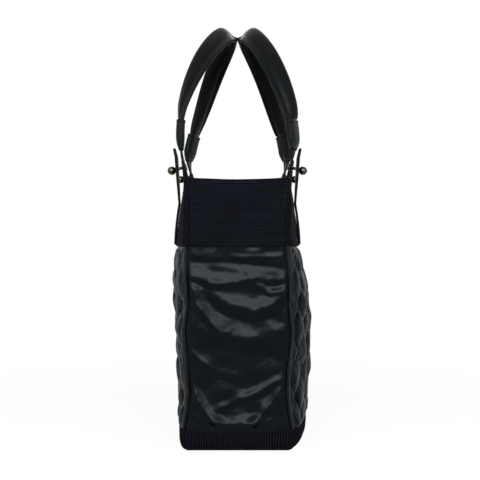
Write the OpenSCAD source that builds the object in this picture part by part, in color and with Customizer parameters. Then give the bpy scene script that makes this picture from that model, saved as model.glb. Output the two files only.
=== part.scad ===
/* [Bag body] */
// Length of the bag over its two end gussets
bag_length = 380; // [340:5:420]
// Depth of the bag across an end, over the upright corners
end_depth = 128; // [120:2:150]
// Height of the top edge of the top band above the floor
rim_z = 321; // [300:1:340]
// Plan radius of the four upright corners
corner_r = 9; // [9:0.5:12]
// How far each long side bows out at mid-length, at the floor
base_bulge = 16; // [10:1:20]
// How far each long side bows out at the belly, where the bag is fullest
belly_bulge = 26; // [20:1:32]
// Height of the belly above the floor
belly_z = 130; // [90:5:170]
// How far each long side bows out at the hem of the top band
hem_bulge = 14; // [10:1:18]
// How far each long side bows out at the rim
rim_bulge = 4; // [1:0.5:8]
// How far each corner leans in at the rim
rim_pinch = 2; // [0:0.5:4]
// How far the end gussets sink in at their middle
gusset_sink = 4; // [0:0.5:8]

/* [Walls and layers] */
// Thickness of the padded panels, gussets and interlining
wall_t = 4; // [3:0.5:5]
// Thickness of the lining cloth
lining_t = 1; // [0.8:0.1:1.5]
// Clearance between pieces that lie on each other
layer_gap = 0.3; // [0.2:0.05:0.4]

/* [Top band] */
// Height of the ribbed top band
band_height = 79; // [60:1:90]
// Thickness of the ribbed nylon
band_t = 1.6; // [1:0.1:2.2]
// How far the top band laps over the panels and gussets
band_lap = 8; // [5:1:15]
// Angle round each corner, from the end, of the band's side seams
seam_angle = 20; // [10:1:40]
// Height of the binding that caps the rim
binding_t = 2.7; // [2:0.1:4]

/* [Base] */
// Height of the ribbed base band
base_band_height = 22; // [18:1:32]
// Radius of the roll between the base and the walls
base_roll = 8; // [6:0.5:8]
// Thickness of the base panel
base_panel_t = 3; // [2:0.5:4]
// Thickness of the stiffener board on the base panel
board_t = 2.5; // [1.5:0.5:3]

/* [Corner piping] */
// Radius of the piping
pipe_r = 2.2; // [1.6:0.1:2.4]
// How far the piping stands out of the corner
pipe_proud = 1.2; // [0.6:0.1:1.6]

/* [Straps] */
// Distance between the two straps of one side
strap_spacing = 190; // [160:5:220]
// Width of the leather straps
strap_w = 25; // [20:1:26]
// Thickness of the leather straps
strap_t = 2.8; // [2:0.1:3.2]
// How far below the rim the anchor straps leave the band
strap_leave = 25; // [18:1:35]
// How far below the rim the anchor straps crease when a handle drops
crease_drop = 9; // [6:1:12]
// Bend radius of that crease, inside the fold
crease_r = 4.3; // [3.5:0.1:6]
// How far the free tails stand above the rim
tail_rise = 46; // [42:1:50]
// How far the free tails flare outwards at their tips
tail_flare = 4.8; // [4:0.2:7]

/* [Handles] */
// Height of the handles' crest above the rim, to the middle of the grip
crest_rise = 208; // [180:2:230]
// Height of the round arch at the top of each handle
arch_h = 129; // [110:1:140]
// Height of each handle's foot, where strap meets sleeve, above the rim
foot_rise = 44; // [40:1:50]
// How far the foot stands outside the rim
foot_out = 6.2; // [6:0.2:10]
// How far in from the foot the lower tip of the handle strap lies
tip_in = 8.4; // [6:0.2:10]
// Clearance of that tip above the binding
tip_clear = 3.5; // [2:0.5:6]
// Angle from the vertical at which each handle leans in at the crest
crest_lean = 37.5; // [25:0.5:42]
// Gap between the two handles where they lean together
handle_gap = 1.2; // [1:0.2:6]
// How far the right leg stands out and the left leg stands in
handle_toe = 7.5; // [0:0.5:8]
// Width of the padded grip
grip_w = 28; // [26:1:32]
// Thickness of the padded grip
grip_t = 11; // [9:0.5:14]
// Thickness of the grip's leather cover
cover_t = 1.3; // [1:0.1:1.8]
// Length of the leather sleeve over each end of the grip
sleeve_len = 37; // [34:1:50]
// Thickness of the sleeve's leather
sleeve_t = 1.2; // [1:0.1:2]

/* [Ball studs] */
// Diameter of the ball
ball_d = 11; // [9:0.5:12]
// Diameter of the neck under the ball
neck_d = 4; // [3:0.5:5]
// Diameter of the flange on the handle strap
flange_d = 8; // [7:0.5:9]
// Thickness of the flange
flange_t = 1; // [0.8:0.1:1.2]
// Diameter of the screw that passes through the handle strap
shank_d = 3; // [2.5:0.5:3.5]
// Diameter of the base cap behind the strap
base_cap_d = 9; // [8:0.5:10]
// Thickness of the base cap
base_cap_t = 1.2; // [1:0.1:1.6]
// Height of the stud above the rim, on the handle strap
stud_rise = 21.5; // [19:0.5:24]
// Clearance of the buttonhole round the neck
buttonhole_play = 0.5; // [0.3:0.1:1]

/* [Pockets] */
// Width of the pair of bottle pockets
bottle_pocket_w = 240; // [200:5:280]
// Depth of the bottle pockets off the wall
bottle_pocket_depth = 30; // [20:1:36]
// Height of the foot of the bottle pockets above the floor
bottle_pocket_z = 60; // [40:2:80]
// Height of the bottle pockets' cloth
bottle_pocket_h = 140; // [110:5:160]
// Width of the slip pocket
slip_pocket_w = 200; // [160:5:240]
// Depth of the slip pocket off the wall
slip_pocket_depth = 12; // [8:0.5:14]
// Height of the foot of the slip pocket above the floor
slip_pocket_z = 110; // [90:2:130]
// Height of the slip pocket's cloth
slip_pocket_h = 130; // [100:5:150]
// Thickness of the pockets' cloth
pocket_t = 1.2; // [1:0.1:1.6]

/* [Magnetic snap] */
// Distance of the snap's centre below the rim
snap_drop = 30; // [24:1:40]
// Diameter of the snap's two halves
snap_d = 18; // [14:1:20]
// Thickness of each half
snap_t = 2.4; // [2:0.2:3]
// Side of the square patch under each half
patch_w = 30; // [26:1:36]
// Thickness of the patches
patch_t = 1.4; // [1:0.1:2]
// Diameter of the backing washers behind the lining
washer_d = 14; // [12:1:16]
// Thickness of the backing washers
washer_t = 0.8; // [0.6:0.1:1]

/* [Hidden] */
$fn = 48;

// How full the bow of a long side is towards its corners
bow_power = 2.5;
// Steps of the curved walls: along a side, across an end and round a corner
side_steps = 14;
end_steps = 6;
arc_steps = 3;
// Inside radius that a corner keeps where layers use up the outer one
least_r = 1;
hem_z = rim_z - band_height;
panel_top = hem_z + band_lap;
// Outward reach of the bands' outer face from the panels' face
band_out = layer_gap + band_t;
// Inset of the lining's faces and of what lies on it
lining_inset = wall_t + layer_gap;
lining_face = lining_inset + lining_t;
// Room that the pockets leave for the flats between the lining's grid points
facet_play = 0.45;
pocket_seat = lining_face + layer_gap + facet_play;
binding_z = rim_z + layer_gap;
binding_top = binding_z + binding_t;
lining_floor = base_panel_t + board_t + 2 * layer_gap;

// Straps and handles
leg_x = strap_spacing / 2;
leave_z = rim_z - strap_leave;
crease_z = rim_z - crease_drop;
// Slit at the crease, between the sewn part and the tail
crease_slit = 0.3;
tail_top = rim_z + tail_rise;
foot_z = rim_z + foot_rise;
crest_z = rim_z + crest_rise;
arch_z = crest_z - arch_h;
tip_z = binding_top + tip_clear;
stud_z = rim_z + stud_rise;
foot_y = half_depth(leg_x, rim_z) + foot_out;
// Half the reach of the grip's section across the bag, at the crest
crest_reach = 1.05 * norm([grip_w / 2 * cos(crest_lean), grip_t / 2 * sin(crest_lean)]);
crest_y = crest_reach + handle_gap / 2;
lean_power = tan(crest_lean) * (crest_z - foot_z) / (foot_y - crest_y);
tip_power = 1.4;
toe_span = 90;
// How late the grip turns from upright to lying flat at the crest
twist_power = 2.5;
// Roundness of the grip's section: 1 is an ellipse, 0 a rectangle
grip_round = 0.75;
// The same of the flat channel in the sleeve's foot
channel_round = 0.3;
ring_sides = 12;
grip_rings = 20;
// Play of the strap inside the sleeve's narrow foot
sleeve_foot_play = [2.2, 1.2];
sleeve_z = foot_z;
sleeve_top = sleeve_z + sleeve_len;
sleeve_step = sleeve_z + 8;
sleeve_shoulder = sleeve_z + 11;
grip_end = sleeve_shoulder + 0.6;
axis_y = strap_back(leg_x, crease_z) + strap_t + crease_r;
stud_tilt = atan((path_y(stud_z + 1) - path_y(stud_z - 1)) / 2);
stud_seat_y = path_y(stud_z);
tail_face_y = strap_back(leg_x, stud_z) + strap_t;
ball_out = (tail_face_y + ball_d / 2 + layer_gap - stud_seat_y) / cos(stud_tilt);

function unit(v) = v / norm(v);
function signed_power(v, p) = sign(v) * pow(abs(v), p);

// How far a long side bows out at height z: it swells up to the belly and
// closes in by quarter waves at the hem of the top band and at the rim.
function bulge(z) =
  z < belly_z ? base_bulge + (belly_bulge - base_bulge) * sin(90 * z / belly_z) :
  z < hem_z ? hem_bulge + (belly_bulge - hem_bulge) * cos(90 * (z - belly_z) / (hem_z - belly_z)) :
  rim_bulge + (hem_bulge - rim_bulge) * cos(90 * (z - hem_z) / (rim_z - hem_z));

function end_half(z) = end_depth / 2 - rim_pinch * pow(z / rim_z, 4);

function half_depth(x, z) =
  end_half(z) + bulge(z) * (1 - pow(min(1, abs(x) / (bag_length / 2 - corner_r)), bow_power));

function half_length(y, z) =
  let (u = min(1, abs(y) / (end_half(z) - corner_r)))
  bag_length / 2 - gusset_sink * sin(180 * min(1, z / rim_z)) * pow(1 - u * u, 2);

function inner_r(inset) = max(least_r, corner_r - inset);

// Point on the right back corner, at an angle from the +X side
function corner_point(angle, z, inset) =
  let (r = inner_r(inset))
  [bag_length / 2 - inset - r + r * cos(angle), end_half(z) - inset - r + r * sin(angle), z];

// Path along the back wall, from an angle on one corner to that on the other
function side_path(z, inset, reach) =
  let (
    flat = bag_length / 2 - inset - inner_r(inset),
    arc = [for (i = [0 : arc_steps - 1])
      corner_point(reach + (90 - reach) * i / arc_steps, z, inset)]
  )
  concat(
    arc,
    [for (i = [0 : side_steps])
      let (x = flat * (1 - 2 * i / side_steps)) [x, half_depth(x, z) - inset, z]],
    [for (i = [arc_steps - 1 : -1 : 0]) [-arc[i].x, arc[i].y, z]]
  );

// Path across the right end, from an angle on one corner to that on the other
function end_path(z, inset, reach) =
  let (
    flat = end_half(z) - inset - inner_r(inset),
    arc = [for (i = [1 : arc_steps]) corner_point(reach * i / arc_steps, z, inset)]
  )
  concat(
    [for (i = [arc_steps - 1 : -1 : 0]) [arc[i].x, -arc[i].y, z]],
    [for (i = [0 : end_steps])
      let (y = flat * (2 * i / end_steps - 1)) [half_length(y, z) - inset, y, z]],
    arc
  );

// Closed path round the whole bag: one long side and one end, then the same
// turned half round
function loop_path(z, inset) =
  let (
    flat = end_half(z) - inset - inner_r(inset),
    half = concat(
      side_path(z, inset, 0),
      [for (i = [1 : end_steps - 1])
        let (y = flat * (1 - 2 * i / end_steps)) [inset - half_length(y, z), y, z]]
    )
  )
  concat(half, [for (p = half) [-p.x, -p.y, z]]);

function heights(low, high, steps) = [for (i = [0 : steps]) low + (high - low) * i / steps];

// Solid between two grids of points: rows rise, and each row runs
// anticlockwise seen from above. A closed grid joins each row's ends.
module grid_solid(outer, inner, closed = false) {
  rows = len(outer);
  n = len(outer[0]);
  columns = closed ? n : n - 1;
  function at(j, i) = j * n + i % n;
  function quad(a, b, c, d) = [[a, b, c], [a, c, d]];
  half = rows * n;
  walls = [for (j = [0 : rows - 2], i = [0 : columns - 1]) each concat(
    quad(at(j, i), at(j + 1, i), at(j + 1, i + 1), at(j, i + 1)),
    quad(half + at(j, i), half + at(j, i + 1), half + at(j + 1, i + 1), half + at(j + 1, i))
  )];
  rims = [for (i = [0 : columns - 1], j = [0, rows - 1])
    each j == 0
      ? quad(at(0, i), at(0, i + 1), half + at(0, i + 1), half + at(0, i))
      : quad(at(j, i), half + at(j, i), half + at(j, i + 1), at(j, i + 1))];
  ends = closed ? [] : [for (j = [0 : rows - 2]) each concat(
    quad(at(j, 0), half + at(j, 0), half + at(j + 1, 0), at(j + 1, 0)),
    quad(at(j, n - 1), at(j + 1, n - 1), half + at(j + 1, n - 1), half + at(j, n - 1))
  )];
  polyhedron([for (row = concat(outer, inner)) each row], concat(walls, rims, ends), convexity = 8);
}

// Solid through a stack of closed rings, with flat caps
module loft(rings) {
  n = len(rings[0]);
  last = (len(rings) - 1) * n;
  sides = [for (j = [0 : len(rings) - 2], i = [0 : n - 1])
    let (a = j * n + i, b = j * n + (i + 1) % n) each [[a, a + n, b + n], [a, b + n, b]]];
  caps = [[for (i = [0 : n - 1]) i], [for (i = [n - 1 : -1 : 0]) last + i]];
  polyhedron([for (ring = rings) each ring], concat(sides, caps), convexity = 8);
}

module front() { mirror([0, 1, 0]) children(); }
module left() { mirror([1, 0, 0]) children(); }
module turned() { rotate([0, 0, 180]) children(); }

// Piping lies in the corner between panel and gusset, which stop short of it
pipe_ring_r = corner_r + pipe_proud - pipe_r;
pipe_angle = asin((pipe_r + layer_gap) / pipe_ring_r);
wall_low = base_roll + band_out + 2 * layer_gap;
body_rows = heights(wall_low, hem_z, 5);
wall_rows = concat(body_rows, [panel_top]);
band_rows = heights(hem_z, rim_z, 4);
upper_rows = [for (z = band_rows) if (z > panel_top + layer_gap) z];

module quilted_panel() {
  reach = 45 + pipe_angle;
  grid_solid(
    [for (z = wall_rows) side_path(z, 0, reach)],
    [for (z = wall_rows) side_path(z, wall_t, reach)]
  );
}

module front_quilted_panel() color("#1b1d21") turned() quilted_panel();
module back_quilted_panel() color("#1b1d21") quilted_panel();

module right_gusset() {
  reach = 45 - pipe_angle;
  color("#202327") grid_solid(
    [for (z = wall_rows) end_path(z, 0, reach)],
    [for (z = wall_rows) end_path(z, wall_t, reach)]
  );
}

module left_gusset() turned() right_gusset();

module piping_run() {
  rings = [for (z = heights(base_band_height + layer_gap, hem_z - layer_gap, 7))
    let (c = corner_point(45, z, 0) + (pipe_ring_r - corner_r) * [cos(45), sin(45), 0])
    [for (a = [0 : 60 : 300]) c + pipe_r * [cos(a), sin(a), 0]]];
  loft(rings);
}

module corner_piping() color("#141518") for (x = [0, 1], y = [0, 1])
  mirror([x, 0, 0]) mirror([0, y, 0]) piping_run();

// The four lengths of the top band meet at side seams round the corners
seam_half = asin(layer_gap / 2 / corner_r);

module side_band() grid_solid(
  [for (z = band_rows) side_path(z, -band_out, seam_angle + seam_half)],
  [for (z = band_rows) side_path(z, -layer_gap, seam_angle + seam_half)]
);

module front_top_band() color("#121318") turned() side_band();
module back_top_band() color("#121318") side_band();

module right_top_band() color("#121318") grid_solid(
  [for (z = band_rows) end_path(z, -band_out, seam_angle - seam_half)],
  [for (z = band_rows) end_path(z, -layer_gap, seam_angle - seam_half)]
);

module left_top_band() turned() right_top_band();

// Interlining: a stiff felt ring above the panels, behind the top band, with
// a shallow round recess for each washer of the snap
module band_interlining() {
  rows = concat([panel_top + layer_gap], upper_rows);
  color("#4a4a4c") difference() {
    grid_solid([for (z = rows) loop_path(z, 0)], [for (z = rows) loop_path(z, wall_t)], true);
    for (y = [0, 1]) mirror([0, y, 0]) on_snap(wall_t)
      translate([0, 0, -washer_t - 2 * layer_gap])
        cylinder(d = washer_d + 2 * layer_gap, h = washer_t + 4 * layer_gap);
  }
}

// Binding: one ring over the edges of band, interlining and lining, domed on top
module rim_binding() {
  dome = binding_t / 3;
  outer = [[binding_z, -band_out], [binding_top - dome, -band_out], [binding_top, 1 - band_out]];
  inner = [[binding_z, lining_face], [binding_top - dome, lining_face], [binding_top, lining_face - 1]];
  color("#0f1014") grid_solid(
    [for (p = outer) loop_path(p[0], p[1])],
    [for (p = inner) loop_path(p[0], p[1])],
    true
  );
}

// Base band: an upright skirt that rolls under the bag to the base panel
module base_band() {
  roll_outer = base_roll + band_out;
  roll_inner = base_roll + layer_gap;
  angles = [0, 45, 90];
  outer = concat(
    [for (a = angles) [roll_outer * (1 - cos(a)), base_roll - roll_outer * sin(a)]],
    [[base_band_height, -band_out]]
  );
  inner = concat(
    [for (a = angles) [roll_outer - roll_inner * cos(a), base_roll - roll_inner * sin(a)]],
    [[base_band_height, -layer_gap]]
  );
  color("#0f1014") grid_solid(
    [for (p = outer) loop_path(p[0], p[1])],
    [for (p = inner) loop_path(p[0], p[1])],
    true
  );
}

module base_plate(thickness) linear_extrude(thickness)
  polygon([for (p = loop_path(0, base_roll + layer_gap)) [p.x, p.y]]);

module base_panel() color("#15161a") base_plate(base_panel_t);

module base_board() color("#6b6257") translate([0, 0, base_panel_t + layer_gap]) base_plate(board_t);

// Lining: an open-topped sack that lies on the board and inside the walls
module lining() {
  foot_r = base_roll;
  rows = concat(
    [[lining_floor, foot_r], [lining_floor + foot_r / 3, foot_r / 4], [lining_floor + foot_r, 0]],
    [for (z = concat(body_rows, upper_rows)) if (z > lining_floor + 2 * foot_r) [z, 0]]
  );
  outer = [for (r = rows) loop_path(r[0], lining_inset + r[1])];
  inner = [for (r = rows)
    [for (p = loop_path(r[0], lining_face + r[1])) p + [0, 0, r[1] == foot_r ? lining_t : 0]]];
  n = len(outer[0]);
  m = len(rows);
  points = [for (row = concat(outer, inner)) each row];
  function quad(a, b, c, d) = [[a, b, c], [a, c, d]];
  walls = [for (j = [0 : m - 2], i = [0 : n - 1])
    let (k = (i + 1) % n, a = j * n, b = (m + j) * n)
    each concat(quad(a + i, a + n + i, a + n + k, a + k), quad(b + i, b + k, b + n + k, b + n + i))];
  rim = [for (i = [0 : n - 1])
    let (k = (i + 1) % n, a = (m - 1) * n, b = (2 * m - 1) * n) each quad(a + i, b + i, b + k, a + k)];
  floors = [[for (i = [0 : n - 1]) i], [for (i = [n - 1 : -1 : 0]) m * n + i]];
  color("#3c3f45") polyhedron(points, concat(walls, rim, floors), convexity = 8);
}

// Pocket on the back wall: cloth that is sewn down at its foot and at its
// seams, and stands off the lining between them by a sine wave
module wall_pocket(width, depth, z, h, cells, fullness, steps) {
  rows = [[0, 0], [3, 0.7], [h / 10, 1], [h * 0.6, 1], [h, 0.9]];
  function off(x) = depth * pow(abs(sin(180 * cells * (x / width + 0.5))), fullness);
  function face(row, extra) = [for (i = [0 : steps])
    let (x = width * (0.5 - i / steps), height = z + row[0] - (row[1] == 0 ? extra : 0))
    [x, half_depth(x, height) - pocket_seat - off(x) * row[1] - extra, height]];
  grid_solid([for (r = rows) face(r, 0)], [for (r = rows) face(r, pocket_t)]);
}

module bottle_pocket() color("#33363b") front()
  wall_pocket(bottle_pocket_w, bottle_pocket_depth, bottle_pocket_z, bottle_pocket_h, 2, 1, 24);

module slip_pocket() color("#33363b")
  wall_pocket(slip_pocket_w, slip_pocket_depth, slip_pocket_z, slip_pocket_h, 1, 0.5, 12);

// Places its children on the inside of the back wall at the snap, with +Z
// pointing into the bag, at an inset from the panel's face
snap_z = rim_z - snap_drop;
snap_slope = atan((half_depth(0, snap_z + 1) - half_depth(0, snap_z - 1)) / 2);

module on_snap(inset) translate([0, half_depth(0, snap_z) - inset, snap_z])
  rotate([90 - snap_slope, 0, 0]) children();

module snap_patch() {
  s = patch_w / 2;
  function face(z, inset) = [for (x = [s, 0, -s]) [x, half_depth(x, z) - inset, z]];
  rows = heights(snap_z - s, snap_z + s, 2);
  grid_solid([for (z = rows) face(z, pocket_seat)], [for (z = rows) face(z, pocket_seat + patch_t)]);
}

module snap_patches() color("#17181b") {
  snap_patch();
  front() snap_patch();
}

// Socket on the front wall, with a hole for the boss of the stud opposite
boss_d = snap_d / 3;
boss_h = snap_t * 0.6;
snap_seat = pocket_seat + patch_t + layer_gap;

module snap_socket() color("#8d8a84") front() on_snap(snap_seat) difference() {
  cylinder(d = snap_d, h = snap_t);
  translate([0, 0, snap_t - boss_h - layer_gap]) cylinder(d = boss_d + 2 * layer_gap, h = snap_t);
}

module snap_stud() color("#8d8a84") on_snap(snap_seat) {
  cylinder(d = snap_d, h = snap_t / 2);
  cylinder(d = boss_d, h = snap_t / 2 + boss_h);
}

module snap_washers() color("#8d8a84") for (y = [0, 1]) mirror([0, y, 0])
  on_snap(wall_t) translate([0, 0, -washer_t - layer_gap]) difference() {
    cylinder(d = washer_d, h = washer_t);
    translate([0, 0, -layer_gap]) cylinder(d = washer_d / 3, h = washer_t + 2 * layer_gap);
  }

// Inner face of an anchor strap: on the band up to where it leaves it, then
// straight up with a flare
function strap_back(x, z) =
  half_depth(x, min(z, leave_z)) + band_out + layer_gap
  + tail_flare * max(0, (z - leave_z) / (tail_top - leave_z));

// Share of the strap's half width at a distance from its rounded end
function round_end(d) = let (r = strap_w / 2) d >= r ? 1 : sqrt(1 - pow(1 - max(0.4, d) / r, 2));

module strap_length(rows, widths) {
  function face(j, out) = [for (u = [1, 0.5, 0, -0.5, -1])
    let (x = leg_x + u * widths[j] * strap_w / 2) [x, strap_back(x, rows[j]) + out, rows[j]]];
  grid_solid([for (j = [0 : len(rows) - 1]) face(j, strap_t)], [for (j = [0 : len(rows) - 1]) face(j, 0)]);
}

module anchor_strap() {
  rows = concat(heights(hem_z + 2, leave_z, 4), [crease_z - crease_slit / 2]);
  color("#191b1e") strap_length(rows, [for (z = rows) 1]);
}

// Tail: the free end of the anchor strap, with the buttonhole over the stud
module strap_tail() {
  tip = [12, 7, 3.5, 1.2, 0];
  rows = concat(heights(crease_z + crease_slit / 2, stud_z, 2), [for (d = tip) tail_top - d]);
  color("#191b1e") difference() {
    strap_length(rows, [for (z = rows) round_end(tail_top - z)]);
    on_stud() cylinder(d = neck_d + 2 * buttonhole_play, h = 2 * ball_out);
  }
}

module front_right_anchor_strap() front() anchor_strap();
module front_left_anchor_strap() left() front() anchor_strap();
module back_right_anchor_strap() anchor_strap();
module back_left_anchor_strap() left() anchor_strap();

// Distance of a handle's centre line from the middle plane at height z
function path_y(z) =
  z >= foot_z ? foot_y - (foot_y - crest_y) * pow((z - foot_z) / (crest_z - foot_z), lean_power)
  : foot_y - tip_in * pow((foot_z - z) / (foot_z - tip_z), tip_power);

// Centre line of the back handle: two upright legs and a half-elliptic arch.
// The angle runs from 0 to 180 over the arch and goes on down each leg.
function path_angle(z) = (z - arch_z) / arch_h * 180 / PI;

function path_point(a) =
  let (
    over = max(0, -a, a - 180),
    arch = min(180, max(0, a)),
    x = leg_x * cos(arch),
    z = arch_z + arch_h * (sin(arch) - over * PI / 180),
    toe = handle_toe * x / leg_x * sin(90 * min(1, max(0, z - foot_z) / toe_span))
  )
  [x, path_y(z) + toe, z];

// Ring round the centre line: width w and thickness t, turned by the twist
function path_ring(a, w, t, roundness, sides) =
  let (
    c = path_point(a),
    along = unit(path_point(a + 1) - path_point(a - 1)),
    slope = path_y(c.z + 0.5) - path_y(c.z - 0.5),
    flank = unit(cross(along, [0, 1, -slope])),
    face = cross(flank, along),
    twist = 90 * pow(sin(min(180, max(0, a))), twist_power),
    across = cos(twist) * flank + sin(twist) * face,
    through = cos(twist) * face - sin(twist) * flank,
    start = sides == 4 ? 45 : 0
  )
  [for (i = [0 : sides - 1])
    let (b = start + 360 * i / sides)
    c + through * t / 2 * signed_power(cos(b), roundness)
    + across * w / 2 * signed_power(sin(b), roundness)];

grip_angles = heights(path_angle(grip_end), 180 - path_angle(grip_end), grip_rings);

function grip_rows(inset) = [for (a = grip_angles)
  path_ring(a, grip_w - 2 * inset, grip_t - 2 * inset, grip_round, ring_sides)];

module grip_cover() color("#1d1f22") grid_solid(grip_rows(0), grip_rows(cover_t), true);
module grip_core() color("#77736c") loft(grip_rows(cover_t + layer_gap));

// Sleeve: narrow at its foot, where it holds the strap, and full over the grip
module sleeve(leg) {
  foot = [strap_w, strap_t] + sleeve_foot_play;
  full = [grip_w, grip_t] + 3 * layer_gap * [1, 1];
  wall = 2 * sleeve_t * [1, 1];
  rows = [
    [sleeve_z, foot, foot + wall],
    [(sleeve_z + sleeve_step) / 2, foot, (foot + full) / 2 + wall],
    [sleeve_step, foot, full + wall * 0.7],
    [sleeve_shoulder, full, full + wall],
    [(sleeve_shoulder + sleeve_top) / 2, full, full + wall * 1.1],
    [sleeve_top, full, full + wall]
  ];
  order = leg > 0 ? [0 : 5] : [5 : -1 : 0];
  function ring(row, k) = path_ring(
    leg > 0 ? path_angle(row[0]) : 180 - path_angle(row[0]),
    row[k][0], row[k][1], row[k] == foot ? channel_round : grip_round, ring_sides
  );
  color("#22262a") grid_solid([for (j = order) ring(rows[j], 2)], [for (j = order) ring(rows[j], 1)], true);
}

module handle_strap(leg) {
  tip = [0, 1.2, 3.5, 7, 12];
  zs = concat([for (d = tip) tip_z + d], heights(stud_z + 4, sleeve_step - layer_gap, 4));
  order = leg > 0 ? [0 : len(zs) - 1] : [len(zs) - 1 : -1 : 0];
  color("#1a1c1f") difference() {
    loft([for (j = order) path_ring(
      leg > 0 ? path_angle(zs[j]) : 180 - path_angle(zs[j]),
      strap_w * round_end(zs[j] - tip_z), strap_t, 0, 4
    )]);
    mirror([leg > 0 ? 0 : 1, 0, 0]) on_stud() translate([0, 0, -strap_t])
      cylinder(d = shank_d + 2 * layer_gap, h = 2 * strap_t);
  }
}

// Places its children at the right back stud, with +Z out along its axis
module on_stud() translate([leg_x, stud_seat_y, stud_z]) rotate([-90 - stud_tilt, 0, 0]) children();

stud_face = strap_t / 2 + layer_gap;

module ball_stud() on_stud() {
  translate([0, 0, ball_out]) sphere(d = ball_d);
  translate([0, 0, stud_face]) cylinder(d = neck_d, h = ball_out - stud_face);
  translate([0, 0, stud_face]) cylinder(d = flange_d, h = flange_t);
  translate([0, 0, -stud_face]) cylinder(d = shank_d, h = 2 * stud_face);
}

module stud_base() on_stud() translate([0, 0, -stud_face - base_cap_t])
  cylinder(d = base_cap_d, h = base_cap_t);

module ball_studs() color("#4b443c") {
  ball_stud();
  left() ball_stud();
}

module stud_bases() color("#4b443c") {
  stud_base();
  left() stud_base();
}

module front_grip_cover() front() grip_cover();
module front_grip_core() front() grip_core();
module front_right_sleeve() front() sleeve(1);
module front_left_sleeve() front() sleeve(-1);
module front_right_handle_strap() front() handle_strap(1);
module front_left_handle_strap() front() handle_strap(-1);
module front_right_strap_tail() front() strap_tail();
module front_left_strap_tail() front() left() strap_tail();
module front_ball_studs() front() ball_studs();
module front_stud_bases() front() stud_bases();
module back_grip_cover() grip_cover();
module back_grip_core() grip_core();
module back_right_sleeve() sleeve(1);
module back_left_sleeve() sleeve(-1);
module back_right_handle_strap() handle_strap(1);
module back_left_handle_strap() handle_strap(-1);
module back_right_strap_tail() strap_tail();
module back_left_strap_tail() left() strap_tail();
module back_ball_studs() ball_studs();
module back_stud_bases() stud_bases();

front_quilted_panel();
back_quilted_panel();
right_gusset();
left_gusset();
front_top_band();
back_top_band();
right_top_band();
left_top_band();
band_interlining();
rim_binding();
corner_piping();
base_band();
base_panel();
base_board();
lining();
bottle_pocket();
slip_pocket();
snap_socket();
snap_stud();
snap_patches();
snap_washers();
front_right_anchor_strap();
front_left_anchor_strap();
back_right_anchor_strap();
back_left_anchor_strap();
front_grip_cover();
front_grip_core();
front_right_sleeve();
front_left_sleeve();
front_right_handle_strap();
front_left_handle_strap();
front_right_strap_tail();
front_left_strap_tail();
front_ball_studs();
front_stud_bases();
back_grip_cover();
back_grip_core();
back_right_sleeve();
back_left_sleeve();
back_right_handle_strap();
back_left_handle_strap();
back_right_strap_tail();
back_left_strap_tail();
back_ball_studs();
back_stud_bases();
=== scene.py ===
import math

import bmesh
import bpy
import numpy as np
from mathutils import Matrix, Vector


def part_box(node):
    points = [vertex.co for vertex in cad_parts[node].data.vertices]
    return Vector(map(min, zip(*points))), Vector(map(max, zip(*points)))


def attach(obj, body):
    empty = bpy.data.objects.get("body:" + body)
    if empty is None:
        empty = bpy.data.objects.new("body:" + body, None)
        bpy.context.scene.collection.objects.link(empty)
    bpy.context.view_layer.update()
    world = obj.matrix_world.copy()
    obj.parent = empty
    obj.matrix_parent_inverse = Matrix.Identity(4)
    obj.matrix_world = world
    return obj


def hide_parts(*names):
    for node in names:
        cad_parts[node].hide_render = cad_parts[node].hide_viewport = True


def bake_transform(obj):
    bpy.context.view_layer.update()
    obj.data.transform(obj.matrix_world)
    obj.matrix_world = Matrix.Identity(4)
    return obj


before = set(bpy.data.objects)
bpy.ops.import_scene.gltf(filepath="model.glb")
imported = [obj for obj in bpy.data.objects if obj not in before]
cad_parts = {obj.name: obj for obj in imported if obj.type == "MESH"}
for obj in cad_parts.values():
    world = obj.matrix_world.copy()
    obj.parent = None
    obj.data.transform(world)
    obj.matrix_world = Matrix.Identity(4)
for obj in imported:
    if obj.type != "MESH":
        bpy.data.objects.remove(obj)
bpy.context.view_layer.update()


# ---------------------------------------------------------------- Stage
# A level camera off the bag's right end, a white floor and a white room, three wide lamps above the
# camera and beside it, one over the bag and one behind it. None of it belongs to the bag. The near end
# is lit at about 1.8 times the plain level, and the other faces at 0.3 to 0.75 of it.

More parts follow.
